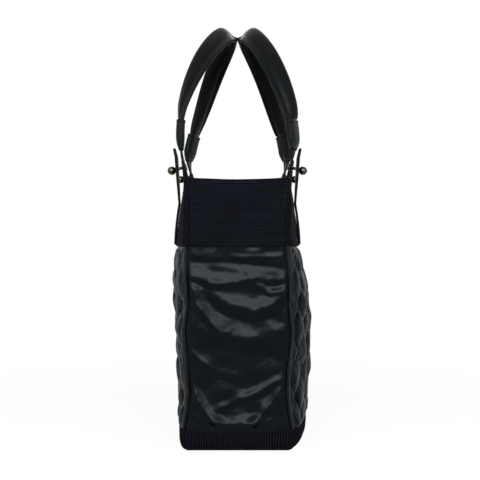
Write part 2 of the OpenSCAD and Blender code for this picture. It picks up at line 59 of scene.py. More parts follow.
class Wire:
    """A socket of a node tree. Arithmetic on it adds Math nodes; node() adds any other node."""

    def __init__(self, tree, socket=None):
        self.tree, self.socket = tree, socket

    def node(self, kind, settings, values, out=0):
        """A new node: its settings are set first, then its sockets, by name or place."""
        made = self.tree.nodes.new("ShaderNode" + kind)
        for key, value in settings.items():
            if key == "stops":
                ramp = made.color_ramp.elements
                for place, tone in value[2:]:
                    ramp.new(place)
                for element, (place, tone) in zip(ramp, sorted(value, key=lambda stop: stop[0])):
                    element.position, element.color = place, tone
            else:
                setattr(made, key, value)
        for key, value in values.items():
            if isinstance(value, Wire):
                self.tree.links.new(value.socket, made.inputs[key])
            else:
                made.inputs[key].default_value = value
        return Wire(self.tree, made.outputs[out]) if made.outputs else made

    def math(self, operation, *values):
        return self.node("Math", {"operation": operation}, dict(enumerate(values)))

    def __add__(self, other):
        return self.math("ADD", self, other)

    def __sub__(self, other):
        return self.math("SUBTRACT", self, other)

    def __rsub__(self, other):
        return self.math("SUBTRACT", other, self)

    def __mul__(self, other):
        return self.math("MULTIPLY", self, other)

    def __truediv__(self, other):
        return self.math("DIVIDE", self, other)

    def __pow__(self, other):
        return self.math("POWER", self, other)

    def __abs__(self):
        return self.math("ABSOLUTE", self)

    __radd__ = __add__
    __rmul__ = __mul__

    def wave(self, pitch):
        """Sine of the value, from -1 to 1, once every pitch."""
        return self.math("SINE", self * (2 * math.pi / pitch))

    def step(self, start, end):
        """0 below start, 1 above end, and smooth between them."""
        return self.node("MapRange", {"interpolation_type": "SMOOTHSTEP"},
                         {"Value": self, "From Min": start, "From Max": end})

    def tint(self, first, second):
        """Colour that goes from the first to the second as the value goes from 0 to 1."""
        return self.node("Mix", {"data_type": "RGBA"}, {0: self, 6: first, 7: second}, 2)

    def bump(self, strength=1.0):
        """Normal of a surface that stands proud by the value, in metres."""
        return self.node("Bump", {}, {"Height": self, "Distance": 1.0, "Strength": strength})


def tone(red, green, blue):
    """Linear colour of an sRGB one that is given from 0 to 255."""
    share = np.array([red, green, blue]) / 255
    linear = np.where(share <= 0.04045, share / 12.92, ((share + 0.055) / 1.055) ** 2.4)
    return (*linear.tolist(), 1.0)


def seen_share(start):
    """1 for rays of the camera, reflections and glass, 0 for light on the object."""
    path = start.node("LightPath", {}, {}, "Is Camera Ray")
    rays = path.socket.node.outputs
    glossy = Wire(start.tree, rays["Is Glossy Ray"])
    through = Wire(start.tree, rays["Is Transmission Ray"])
    return path.math("MAXIMUM", path, path.math("MAXIMUM", glossy, through))


scene = bpy.context.scene
scene.view_settings.view_transform = "Standard"
white = (1.0, 1.0, 1.0, 1.0)

camera = bpy.data.objects.new("camera", bpy.data.cameras.new("camera"))
camera.data.lens = 76.2
camera.location = (1.390, 0.0034, 0.250)
camera.rotation_euler = (math.radians(90), 0, math.radians(90))
scene.collection.objects.link(camera)
scene.camera = camera

room_light = 0.12
scene.world = bpy.data.worlds.new("room")
scene.world.use_nodes = True
scene.world.node_tree.nodes.clear()
room = Wire(scene.world.node_tree)
room_shader = room.node("MixShader", {}, {
    0: seen_share(room),
    1: room.node("Background", {}, {"Color": white, "Strength": room_light}),
    2: room.node("Background", {}, {"Color": white, "Strength": 1.0}),
})
room.node("OutputWorld", {}, {"Surface": room_shader})

floor_size, floor_drop = 8.0, 0.0004
floor_mesh = bpy.data.meshes.new("floor")
floor_corners = [(x * floor_size / 2, y * floor_size / 2, -floor_drop)
                 for x, y in ((-1, -1), (1, -1), (1, 1), (-1, 1))]
floor_mesh.from_pydata(floor_corners, [], [(0, 1, 2, 3)])
floor = bpy.data.objects.new("floor", floor_mesh)
scene.collection.objects.link(floor)

floor_paint = bpy.data.materials.new("floor_paint")
floor_paint.use_nodes = True
floor_paint.node_tree.nodes.clear()
paint = Wire(floor_paint.node_tree)
floor_place = paint.node("TexCoord", {}, {}, "Object")
off_centre = paint.node("VectorMath", {"operation": "LENGTH"}, {0: floor_place}, "Value")
glow_share = seen_share(paint) * (0.93 + 0.07 * off_centre.step(0.25, 0.9))
floor_shader = paint.node("MixShader", {}, {
    0: glow_share,
    1: paint.node("BsdfDiffuse", {}, {"Color": (0.9, 0.9, 0.9, 1.0)}),
    2: paint.node("Emission", {}, {"Color": white, "Strength": 1.0}),
})
paint.node("OutputMaterial", {}, {"Surface": floor_shader})
floor_mesh.materials.append(floor_paint)


def lamp(name, place, size, radiance):
    """A square lamp at a place, turned to the middle of the bag, as bright as given."""
    light = bpy.data.lights.new(name, "AREA")
    light.shape, light.size, light.size_y = "RECTANGLE", size[0], size[1]
    light.energy = radiance * math.pi * size[0] * size[1]
    made = bpy.data.objects.new(name, light)
    made.location = place
    aim = Vector((0, 0, 0.25)) - made.location
    made.rotation_euler = aim.to_track_quat("-Z", "Y").to_euler()
    made.visible_camera = False
    scene.collection.objects.link(made)


lamp("lamp_front", (1.57, 0.0, 0.92), (2.2, 0.62), 12.0)
lamp("lamp_left", (1.20, -1.15, 0.86), (0.9, 0.6), 4.5)
lamp("lamp_right", (1.20, 1.15, 0.86), (0.9, 0.6), 4.5)
lamp("lamp_over", (-0.1, 0.1, 2.0), (1.2, 1.2), 0.4)
lamp("lamp_behind", (-1.57, 0.2, 1.05), (2.0, 0.55), 2.5)


# ---------------------------------------------------------------- Form of the bag
# Every layer of the bag follows one form: two upright ends that sink a little in the middle, and two
# long sides that bow out to a belly, more on the back than on the front, and close in at the rim.

end_low, end_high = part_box("right_gusset")
band_low, band_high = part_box("right_top_band")
half_length = end_high.x
rim_z = band_high.z
hem_z = band_low.z
wall_low_z = end_low.z
wall_top_z = end_high.z
base_top_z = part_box("base_band")[1].z
end_depth = 0.128
corner_r = 0.009
least_r = 0.001
back_bows, back_belly_z = (0.024, 0.031), 0.150
front_bows, front_belly_z = (0.0095, 0.0195), 0.200
hem_bow, rim_bow = 0.015, 0.004
bow_power = 2.5
corner_steps = 6


def ease(value, start, end):
    """0 before start, 1 after end, and a smooth step between them."""
    share = np.clip((value - start) / (end - start), 0, 1)
    return share ** 2 * (3 - 2 * share)


def swell(z, centre, spread):
    """Bell curve round a height."""
    return np.exp(-((z - centre) / spread) ** 2)


def end_half(z):
    """Half the depth of an end: nearly upright, drawn in by 2 mm towards the rim."""
    return end_depth / 2 - 0.002 * (z / rim_z) ** 4


def side_bow(z, side):
    """How far a long side bows out at a height: quarter waves from the base to the belly, from the belly
    to the hem and from the hem to the rim. The front rises to its belly by a power instead."""
    low, full = back_bows if side > 0 else front_bows
    belly_z = back_belly_z if side > 0 else front_belly_z
    share = np.clip(z / belly_z, 0, 1)
    base = low + (full - low) * (np.sin(np.pi / 2 * share) if side > 0 else share ** 1.5)
    rise = np.clip((z - belly_z) / (hem_z - belly_z), 0, 1)
    middle = hem_bow + (full - hem_bow) * np.cos(np.pi / 2 * rise)
    close = np.clip((z - hem_z) / (rim_z - hem_z), 0, 1)
    top = rim_bow + (hem_bow - rim_bow) * np.cos(np.pi / 2 * close)
    return np.where(z < belly_z, base, np.where(z < hem_z, middle, top))


def side_y(x, z, side):
    """Distance of a long side's face from the middle plane."""
    along = np.minimum(1, np.abs(x) / (half_length - corner_r))
    return end_half(z) + side_bow(z, side) * (1 - along ** bow_power)


def end_x(y, z):
    """Distance of an end's face from the bag's middle: it sinks by up to 4 mm between its seams."""
    across = np.minimum(1, np.abs(y) / (end_half(z) - corner_r))
    return half_length - 0.004 * np.sin(np.pi * np.minimum(1, z / rim_z)) * (1 - across ** 2) ** 2


# How far the corners stand out or in at some heights, on the back and on the front
corner_heights = [0.0, 0.028, 0.050, 0.070, 0.095, 0.140, 0.168, 0.205, 0.238]
back_swell = [0.0035, 0.0045, 0.0005, -0.001, 0.0, 0.0042, 0.0038, 0.0025, 0.0]
front_swell = [0.0015, 0.0020, -0.0010, -0.0025, 0.0, 0.0025, -0.0012, 0.0020, 0.0]


def slumped(grid):
    """The grid with its corners moved in and out by a few millimetres, as a line of heights gives it for
    the back and the front, smoothly and only near the corners."""
    x, y, z = grid[..., 0], grid[..., 1], grid[..., 2]
    out = np.where(y > 0, np.interp(z, corner_heights, back_swell), np.interp(z, corner_heights, front_swell))
    share = ease(np.abs(x), 0.100, 0.180) * ease(np.abs(y), 0.025, 0.058)
    moved = grid.copy()
    moved[..., 1] += np.sign(y) * out * share
    return moved


def column(values):
    """A column of rows, so that heights go with every point of their row."""
    return np.asarray(values, float).reshape(-1, 1)


def side_grid(z, out, side, reach, count):
    """Rows of points along a long side, anticlockwise from above: round one corner from an angle, across
    the side, and round the other. out is how far outside the wall's face a row lies."""
    z, out = column(z), column(out) + np.zeros((len(z), 1))
    r = np.maximum(least_r, corner_r + out)
    centre_x = half_length + out - r
    turn = np.radians(np.linspace(reach, 90, corner_steps, endpoint=False))
    arc_x = centre_x + r * np.cos(turn)
    arc_y = end_half(z) + out - r + r * np.sin(turn)
    x = centre_x * np.linspace(1, -1, count)
    x, y = (np.hstack(parts) for parts in (
        (arc_x, x, -arc_x[:, ::-1]),
        (arc_y, side_y(x, z, side) + out, arc_y[:, ::-1]),
    ))
    return np.dstack([side * x, side * y, z + 0 * x])


def end_grid(z, out, end, reach, count):
    """The same across an end: round one corner up to an angle, across the end, round the other."""
    z, out = column(z), column(out) + np.zeros((len(z), 1))
    r = np.maximum(least_r, corner_r + out)
    centre_y = end_half(z) + out - r
    turn = np.radians(np.linspace(reach, 0, corner_steps, endpoint=False))
    arc_x = half_length + out - r + r * np.cos(turn)
    arc_y = centre_y + r * np.sin(turn)
    y = centre_y * np.linspace(-1, 1, count)
    x, y = (np.hstack(parts) for parts in (
        (arc_x, end_x(y, z) + out, arc_x[:, ::-1]),
        (-arc_y, y, arc_y[:, ::-1]),
    ))
    return np.dstack([end * x, end * y, z + 0 * x])


def loop_grid(z, out, side_count, end_count):
    """Rows right round the bag: back, left end, front and right end, each joined to the next."""
    parts = []
    for sign in (1, -1):
        parts.append(side_grid(z, out, sign, 0, side_count))
        parts.append(end_grid(z, out, -sign, 0, end_count)[:, 1:-1])
    return np.concatenate(parts, axis=1)


def distance_along(grid):
    """Distance of each column from the first, along the middle row."""
    middle = grid[len(grid) // 2]
    steps = np.linalg.norm(np.diff(middle, axis=0), axis=1)
    return np.concatenate([[0], np.cumsum(steps)])


def outward(grid, closed=False):
    """Unit normals of a grid of points: the cross product of its slopes along and up."""
    up = np.gradient(grid, axis=0)
    if closed:
        along = np.roll(grid, -1, axis=1) - np.roll(grid, 1, axis=1)
    else:
        along = np.gradient(grid, axis=1)
    normal = np.cross(along, up)
    return normal / np.maximum(1e-12, np.linalg.norm(normal, axis=2, keepdims=True))


def raised(grid, height, closed=False):
    """The grid, moved out along its normals by a height at each point."""
    return grid + outward(grid, closed) * np.asarray(height)[..., None]


def ripple(u, v, size, seed, count=24):
    """Smooth random waves of about one size, with a mean square of 1."""
    draw = np.random.default_rng(seed)
    total = 0
    for _ in range(count):
        heading, phase = draw.uniform(0, 2 * np.pi, 2)
        pitch = size * draw.uniform(0.7, 1.6)
        total = total + np.sin(2 * np.pi * (u * np.cos(heading) + v * np.sin(heading)) / pitch + phase)
    return total * np.sqrt(2 / count)


def piece(name, grid, flat, body, material, replaces=(), around=False, along=False):
    """A piece over a grid of points. around joins its last row to the first and along its last column to
    the first; an end that stays open is closed by one face. flat gives each corner's place on the piece
    laid flat, in metres, which becomes its UV map."""
    rows, columns = grid.shape[:2]
    number = np.arange(rows * columns).reshape(rows, columns)
    joined = np.pad(number, ((0, int(around)), (0, int(along))), mode="wrap")
    flat = np.asarray(flat, float)

    def corners(values):
        """Its value at the four corners of each face, anticlockwise."""
        return np.stack([values[:-1, :-1], values[:-1, 1:], values[1:, 1:], values[1:, :-1]], axis=2)

    faces = corners(joined).reshape(-1, 4).tolist()
    spots = [corners(flat).reshape(-1, 2)]
    walls = len(faces)
    if around and not along:
        ends = [(number[:, 0], flat[:rows, 0]), (number[::-1, -1], flat[:rows][::-1, -1])]
    elif along and not around:
        ends = [(number[0, ::-1], flat[0, :columns][::-1]), (number[-1], flat[-1, :columns])]
    else:
        ends = []
    for ring, place in ends:
        faces.append(ring.tolist())
        spots.append(place)
    mesh = bpy.data.meshes.new(name)
    mesh.from_pydata(grid.reshape(-1, 3).tolist(), [], faces)
    mesh.uv_layers.new(name="flat").data.foreach_set("uv", np.concatenate(spots).ravel())
    smooth = np.ones(len(faces), bool)
    smooth[walls:] = False
    mesh.polygons.foreach_set("use_smooth", smooth)
    shell = bmesh.new()
    shell.from_mesh(mesh)
    bmesh.ops.recalc_face_normals(shell, faces=shell.faces)
    shell.to_mesh(mesh)
    shell.free()
    made = bpy.data.objects.new(name, mesh)
    scene.collection.objects.link(made)
    mesh.materials.append(material)
    if body:
        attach(made, body)
    if replaces:
        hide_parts(*replaces)
    return made


def walled(outer, inner):
    """One ring of rows: up the outer face and down the inner one."""
    return np.concatenate([outer, inner[::-1]], axis=0)


def flat_map(u, v):
    """Flat places of a grid: distance along for each column, and height for each row."""
    return np.dstack(np.broadcast_arrays(u[None, :], v[:, None]))


def flat_of(u, v_outer, v_inner, around=True):
    """Flat places of a walled ring: distance along, and height, on both faces."""
    return flat_map(u, np.concatenate([v_outer, v_inner[::-1]] + ([v_outer[:1]] if around else [])))


def new_material(name):
    """An empty material, and the Wire from which its nodes start."""
    made = bpy.data.materials.new(name)
    made.use_nodes = True
    made.node_tree.nodes.clear()
    return made, Wire(made.node_tree)


def noise(place, scale, detail, distortion=0.0):
    """Soft noise over places, from 0 to 1."""
    return place.node("TexNoise", {}, {"Vector": place, "Scale": scale, "Detail": detail,
                                       "Distortion": distortion})


def axes_of(place):
    """The three numbers of a place, one by one."""
    first = place.node("SeparateXYZ", {}, {0: place}, "X")
    outputs = first.socket.node.outputs
    return first, Wire(place.tree, outputs["Y"]), Wire(place.tree, outputs["Z"])


def shade(start, values):
    """Ends a material with a Principled shader that has these sockets."""
    start.node("OutputMaterial", {}, {"Surface": start.node("BsdfPrincipled", {}, values)})


# ---------------------------------------------------------------- Quilted panels
# Front and back: glossy coated fabric, quilted in diamonds on thin foam. Each diamond puffs up between
# its seams, and the cloth puckers along them. Sewn into the bands above and below and to the piping.

quilt_size = 0.055
quilt_crossing_z = 0.0605
quilt_puff = 0.0048
pucker_height, pucker_reach, pucker_pitch = 0.00045, 0.006, 0.0085
panel_t = 0.004
coating_tint = (0.80, 0.93, 1.0, 1.0)
panel_step = 0.0016
piping_angle = 18.65


def quilt_height(u, v, seed):
    """Height of the quilting: the root of the product of two sines, one across each run of seams, times
    how full each diamond is, plus puckers that die out away from the seams."""
    wander = 0.0012 * ripple(u, v, 0.09, seed)
    first = (u + wander) / quilt_size + (v - quilt_crossing_z) / quilt_size
    second = (u + wander) / quilt_size - (v - quilt_crossing_z) / quilt_size
    fill = np.random.default_rng(seed).uniform(0.78, 1.12, (40, 40))
    cell = fill[np.floor(first).astype(int) % 40, np.floor(second).astype(int) % 40]
    puff = quilt_puff * cell * (np.abs(np.sin(np.pi * first)) * np.abs(np.sin(np.pi * second))) ** 0.55
    pitch = quilt_size / math.sqrt(2)
    pucker = 0
    for across, run, turn in ((first, second, 1), (second, first, 2)):
        off = np.abs(across - np.round(across)) * pitch
        phase = ripple(u, v, 0.05, seed + turn)
        wave = np.sin(2 * np.pi * run * pitch / pucker_pitch + 1.5 * phase)
        pucker = pucker + pucker_height * np.exp(-off / pucker_reach) * wave
    return puff + pucker + 0.0005 * ripple(u, v, 0.035, seed + 5)


quilted_material, start = new_material("quilted_coated_fabric")
place = start.node("UVMap", {"uv_map": "flat"}, {})
u, v = axes_of(place)[:2]
grain = noise(place, 900.0, 3.0)
smudge = noise(place, 22.0, 4.0)
across = [(u + (v - quilt_crossing_z) * sign) / quilt_size for sign in (1.0, -1.0)]
seams = [abs(side - side.math("ROUND", side)) * (quilt_size / math.sqrt(2)) for side in across]
# Near each seam the base colour goes nearly black. At the seam line this is the dark stitching thread; beside
# it, over the rest of the seam groove, it is painted shade.
seam_thread_and_shade = 1.0 - start.math("MINIMUM", *seams).step(0.0006, 0.0030)
shade(start, {
    "Base Color": seam_thread_and_shade.tint(tone(6, 10, 14), tone(1, 1, 2)),
    "Roughness": 0.28 + 0.12 * smudge + 0.20 * seam_thread_and_shade,
    "Specular IOR Level": 0.014,
    "Specular Tint": coating_tint,
    "Normal": (0.000035 * grain + 0.00006 * start.node(
        "TexVoronoi", {}, {"Vector": place, "Scale": 700.0}, "Distance")).bump(),
})


def quilted_panel(name, side, seed):
    """One long side: the wall's rows, raised by the quilting except where a band covers it."""
    z = np.arange(wall_low_z, wall_top_z, panel_step)
    base = side_grid(z, 0, side, 45 + piping_angle, 236)
    u = distance_along(base)
    u = u - u[-1] / 2
    free = ease(z, base_top_z, base_top_z + 0.008) * (1 - ease(z, hem_z - 0.006, hem_z))
    edge = ease(u[-1] - np.abs(u), 0.0005, 0.016)
    height = quilt_height(u[None, :], z[:, None], seed) * free[:, None] * edge[None, :]
    outer = raised(base, height - 0.0012 * free[:, None] * edge[None, :])
    inner_z = np.linspace(z[0], z[-1], 24)
    inner = side_grid(inner_z, -panel_t, side, 45 + piping_angle, 236)
    made = piece(name, slumped(walled(outer, inner)), flat_of(u, z, inner_z), "root", quilted_material,
                 [name], around=True)
    made.name = name + "_cloth"


quilted_panel("back_quilted_panel", 1, 3)
quilted_panel("front_quilted_panel", -1, 11)


# ---------------------------------------------------------------- End gussets
# Right and left ends: one length each of the same coated fabric without the quilting. It is cut long,
# so it hangs in soft folds: a roll under the band, drapes below it, and a V where the base draws it in.

gusset_t = 0.003
gusset_step = 0.0011
fold_depth = 0.0022
groove_depth = 0.0015
blur_rounds = 4

# Each fold: its line as (across, height) in millimetres, its height, and its spread above and below
near_folds = [
    ([(-10, 230), (26, 229), (66, 232)], 1.1, 5.5, 4),
    ([(-66, 226), (-20, 224), (22, 221), (66, 216)], -1.5, 5, 8),
    ([(-56, 208), (-28, 197), (-2, 198), (20, 205)], 3.6, 19, 6),
    ([(26, 203), (44, 201), (76, 209)], 2.0, 9, 4),
    ([(10, 216), (20, 199), (38, 187), (54, 191), (74, 216)], 1.5, 7, 5),
    ([(-30, 190), (-6, 172), (22, 166), (38, 172), (72, 202)], 4.4, 18, 15),
    ([(-66, 210), (-48, 172), (-20, 138)], 5.6, 17, 6),
    ([(-40, 146), (10, 132), (60, 146)], 3.4, 24, 22),
    ([(-60, 125), (-42, 106), (-22, 92)], 1.4, 6, 6),
    ([(-24, 49), (26, 70), (78, 101)], 3.0, 10, 6.5),
    ([(-74, 100), (-49, 59), (-14, 20)], 4.6, 13, 5),
    ([(4, 14), (36, 50), (70, 94)], 4.4, 11, 5),
    ([(-42, 37), (-4, 31), (32, 34)], 3.4, 14, 4.5),
]
far_folds = [
    ([(-52, 232), (-20, 229), (12, 231)], 2.3, 5, 4.5),
    ([(-60, 219), (0, 223), (60, 226)], -2.2, 5, 10),
    ([(-28, 201), (8, 197), (60, 206)], 4.8, 14, 7),
    ([(-58, 206), (-40, 192), (-22, 190), (-14, 200)], 3.2, 6, 5),
    ([(-46, 186), (-20, 172), (4, 170), (22, 178)], 4.6, 13, 17),
    ([(58, 184), (44, 166), (26, 148)], 4.2, 11, 4.5),
    ([(-34, 138), (-8, 133), (20, 139)], 2.0, 16, 22),
    ([(-56, 90), (-28, 73), (0, 60)], 3.0, 7, 6.5),
    ([(58, 84), (42, 58), (22, 35)], 4.0, 8.5, 5),
    ([(-58, 72), (-38, 52), (-26, 36)], 3.4, 8, 5),
    ([(-26, 36), (0, 32), (24, 36)], 3.4, 11, 4.5),
]


def blurred(height):
    """Each point as the mean of itself and its neighbours up, down, left and right."""
    wide = np.pad(height, 1, mode="edge")
    return (wide[1:-1, 1:-1] + wide[2:, 1:-1] + wide[:-2, 1:-1] + wide[1:-1, 2:] + wide[1:-1, :-2]) / 5


# Height of a fold against its distance: level at the ridge, an even flank, and level again at its foot
tent_share = np.linspace(0, 1, 101)
tent_slope = np.minimum(1, np.minimum(tent_share / 0.2, (1 - tent_share) / 0.3))
tent = 1 - np.cumsum(tent_slope) / tent_slope.sum()


def fold(y, z, line, height, above, below):
    """A fold along a line of points: a tent of the distance to it, with a rounded ridge and even flanks,
    one spread above the line and one below. It fades out towards the line's ends."""
    line = np.array(line) / 1000
    lengths = np.linalg.norm(np.diff(line, axis=0), axis=1)
    passed = np.concatenate([[0], np.cumsum(lengths)]) / lengths.sum()
    nearest, place, over = np.full(y.shape, np.inf), np.zeros(y.shape), np.zeros(y.shape)
    for (y0, z0), (y1, z1), start, end in zip(line[:-1], line[1:], passed[:-1], passed[1:]):
        run = np.array([y1 - y0, z1 - z0])
        share = np.clip(((y - y0) * run[0] + (z - z0) * run[1]) / (run @ run), 0, 1)
        gap = np.hypot(y - y0 - share * run[0], z - z0 - share * run[1])
        closer = gap < nearest
        nearest = np.where(closer, gap, nearest)
        place = np.where(closer, start + share * (end - start), place)
        over = np.where(closer, z - z0 - share * run[1], over)
    spread = (below + (above - below) * ease(over, -0.003, 0.003)) / 1000
    fade = np.sin(np.pi * (0.08 + 0.84 * place)) ** 0.5
    return height / 1000 * fade * np.interp(nearest / spread, tent_share, tent)


coated_material, start = new_material("coated_fabric")
place = start.node("UVMap", {"uv_map": "flat"}, {})
u, v = axes_of(place)[:2]
weave = 0.5 * (u.wave(0.0011) + v.wave(0.0011))
grain = noise(place, 700.0, 3.0)
smudge = noise(place, 16.0, 5.0)
crinkle = noise(place, 55.0, 4.0, 0.6)
shade(start, {
    "Base Color": smudge.tint(tone(0, 1, 3), tone(3, 5, 9)),
    "Roughness": 0.25 + 0.12 * smudge,
    "Specular IOR Level": 0.085,
    "Specular Tint": coating_tint,
    "Normal": (0.000010 * weave + 0.00003 * grain + 0.0006 * crinkle).bump(),
})


def gusset(name, end, folds, seed):
    """One end: the wall's rows, raised by its folds and by small creases, smoothed, and drawn into a
    groove beside the piping."""
    z = np.arange(wall_low_z, wall_top_z, gusset_step)
    base = end_grid(z, 0, end, 45 - piping_angle, 102)
    u = distance_along(base)
    u = u - u[-1] / 2
    across, up = np.broadcast_arrays(u[None, :], z[:, None])
    height = sum(fold(across, up, *one) for one in folds)
    height = height + 0.00045 * ripple(across, up * 1.4, 0.034, seed)
    height = height + 0.00007 * ripple(across, up, 0.009, seed + 2)
    for _ in range(blur_rounds):
        height = blurred(height)
    height = np.maximum(height, -fold_depth)
    free = ease(z, base_top_z - 0.002, base_top_z + 0.010) * (1 - ease(z, hem_z - 0.006, hem_z + 0.001))
    edge = ease(u[-1] - np.abs(u), 0.0, 0.010)
    seam = groove_depth * (1 - ease(u[-1] - np.abs(u), 0.001, 0.006))
    outer = raised(base, (height * edge[None, :] - seam[None, :]) * free[:, None])
    inner_z = np.linspace(z[0], z[-1], 48)
    inner = end_grid(inner_z, -gusset_t, end, 45 - piping_angle, 102)
    made = piece(name, slumped(walled(outer, inner)), flat_of(u, z, inner_z), "root", coated_material,
                 [name], around=True)
    made.name = name + "_cloth"


gusset("right_gusset", 1, near_folds, 21)
gusset("left_gusset", -1, far_folds, 22)


# ---------------------------------------------------------------- Top band
# Four lengths of ribbed nylon webbing, sewn together round the corners, with the ribs running round the
# bag. The lower edge is turned up into a hem. A felt interlining behind the band keeps the rim up.

rib_pitch = 0.0026
rib_height = 0.00045
band_gap, band_out = 0.0003, 0.0019
seam_angle = 20.0
end_starts_x = 0.18
band_rows_per_rib = 8

nylon_material, start = new_material("ribbed_nylon")
place = start.node("UVMap", {"uv_map": "flat"}, {})
u, v = axes_of(place)[:2]
thread = (u + 0.0003 * v.wave(rib_pitch)).wave(0.0009)
# The base colour follows the ribs: painted shade, near black, in the grooves between them, and a painted
# highlight on their crowns.
rib_painted_shading = 0.5 + 0.5 * (v + (rib_pitch / 4 - hem_z)).wave(rib_pitch)
fuzz = noise(place, 1300.0, 2.0)
fade = noise(place, 30.0, 3.0)
shade(start, {
    "Base Color": (rib_painted_shading * (0.6 + 0.5 * fade + 0.25 * thread)).tint(tone(0, 0, 1), tone(20, 22, 28)),
    "Roughness": 0.62 + 0.2 * fuzz,
    "Specular IOR Level": 0.01,
    "Normal": (0.00007 * thread + 0.00006 * fuzz).bump(),
})


def rim_sag(y):
    """How far the rim dips between the corners of an end."""
    return -0.0022 * np.clip(1 - (y / 0.055) ** 2, 0, 1)


def band_height(u, z, seed):
    """Height of the band: rounded ribs with sharp grooves between them, a raised hem, slow waves."""
    rib = np.abs(np.cos(np.pi * (z - hem_z) / rib_pitch)) ** 0.7
    hem = 0.0011 * (1 - ease(z, hem_z + 0.0085, hem_z + 0.0115))
    tuck = -0.0011 * (1 - ease(z, hem_z, hem_z + 0.0022))
    return rib_height * (rib - 1) + hem + tuck + 0.00045 * ripple(u, z, 0.06, seed + 1)


def top_band(name, grid_maker, sign, reach, count, seed):
    """One length of the band between its seams at the corners, where its edges turn in."""
    ribs = round((rim_z - hem_z) / rib_pitch)
    z = np.linspace(hem_z, rim_z, ribs * band_rows_per_rib + 1)
    base = grid_maker(z, band_out, sign, reach, count)
    u = distance_along(base)
    u = u - u[-1] / 2
    turn_in = -0.0010 * (1 - ease(u[-1] - np.abs(u), 0, 0.0016))
    outer = raised(base, band_height(u[None, :], z[:, None], seed) + turn_in[None, :])
    inner_z = np.linspace(hem_z, rim_z, 12)
    inner = grid_maker(inner_z, band_gap, sign, reach, count)
    ring = walled(outer, inner)
    at_end = abs(ring[..., 0]) > end_starts_x
    ring[..., 2] += rim_sag(ring[..., 1]) * ease(ring[..., 2], hem_z + 0.03, rim_z) * at_end
    made = piece(name, ring, flat_of(u, z, inner_z), "root", nylon_material, [name],
                 around=True)
    made.name = name + "_webbing"


top_band("back_top_band", side_grid, 1, seam_angle + 1, 120, 31)
top_band("front_top_band", side_grid, -1, seam_angle + 1, 120, 33)
top_band("right_top_band", end_grid, 1, seam_angle - 1, 60, 35)
top_band("left_top_band", end_grid, -1, seam_angle - 1, 60, 37)

felt_material, start = new_material("felt")
place = start.node("TexCoord", {}, {}, "Object")
fibres = noise(place, 400.0, 6.0, 1.5)
shade(start, {
    "Base Color": fibres.tint(tone(58, 58, 60), tone(96, 96, 98)),
    "Roughness": 0.95,
    "Normal": (0.0004 * fibres).bump(),
})

felt_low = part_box("band_interlining")[0].z
felt_z = np.linspace(felt_low, rim_z, 8)
felt_ring = walled(loop_grid(felt_z, -0.0002, 60, 20), loop_grid(felt_z, -0.0040, 60, 20))
felt_u = np.linspace(0, 1, felt_ring.shape[1] + 1)
piece("band_interlining_felt", felt_ring, flat_of(felt_u, felt_z, felt_z), "root", felt_material,
      ["band_interlining"], around=True, along=True)


# ---------------------------------------------------------------- Rim binding
# A tape folded over the raw edges of band, interlining and lining, sewn right round the mouth. Its
# section is a box with rounded corners.

binding_low, binding_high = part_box("rim_binding")
binding_bottom, binding_top = binding_low.z, binding_high.z
binding_inner = -0.0053

binding_material, start = new_material("binding_tape")
place = start.node("UVMap", {"uv_map": "flat"}, {})
u, v = axes_of(place)[:2]
twill = (u + v).wave(0.0012)
fuzz = noise(place, 900.0, 2.0)
shade(start, {
    "Base Color": (0.5 + 0.3 * twill).tint(tone(4, 5, 7), tone(11, 12, 16)),
    "Roughness": 0.7 + 0.1 * fuzz,
    "Specular IOR Level": 0.03,
    "Normal": (0.00008 * twill + 0.00004 * fuzz).bump(),
})



def squared(value, roundness):
    """A sine or cosine raised to a power with its sign kept: round at 1, and boxy towards 0."""
    return np.sign(value) * np.abs(value) ** roundness


binding_turns = np.radians(np.linspace(0, 360, 28, endpoint=False))
binding_half_w = (band_out - binding_inner) / 2
binding_mid = (band_out + binding_inner) / 2
binding_half_h = (binding_top - binding_bottom) / 2
binding_roundness = 0.6
binding_out = binding_mid + binding_half_w * squared(np.cos(binding_turns), binding_roundness)
binding_z = (binding_top + binding_bottom) / 2 + binding_half_h * squared(
    np.sin(binding_turns), binding_roundness)
binding_ring = loop_grid(binding_z, binding_out, 150, 60)
binding_u = distance_along(binding_ring)
binding_wave = 0.00006 * np.sin(2 * np.pi * binding_u / 0.0060) + 0.0003 * ripple(binding_u, 0, 0.07, 41)
binding_at_end = abs(binding_ring[..., 0]) > end_starts_x
binding_ring[..., 2] += binding_wave + rim_sag(binding_ring[..., 1]) * binding_at_end
binding_flat = flat_map(np.append(binding_u, binding_u[-1] + 0.001), np.linspace(0, 0.02, 29))
piece("rim_binding_tape", binding_ring, binding_flat, "root", binding_material,
      ["rim_binding"], around=True, along=True)


# ---------------------------------------------------------------- Corner piping
# Four runs of cord covered in the coated fabric, sewn in between panel and gusset. They wander a little
# and bunch up where the seam takes up slack.

pipe_r = 0.0021
pipe_centre_r = 0.0080

piping_material, start = new_material("piping")
place = start.node("UVMap", {"uv_map": "flat"}, {})
smudge = noise(place, 60.0, 4.0)
grain = noise(place, 800.0, 3.0)
shade(start, {
    "Base Color": smudge.tint(tone(3, 5, 7), tone(9, 12, 15)),
    "Roughness": 0.24 + 0.16 * smudge,
    "Specular IOR Level": 0.12,
    "Specular Tint": coating_tint,
    "Normal": (0.0002 * smudge + 0.00004 * grain).bump(),
})


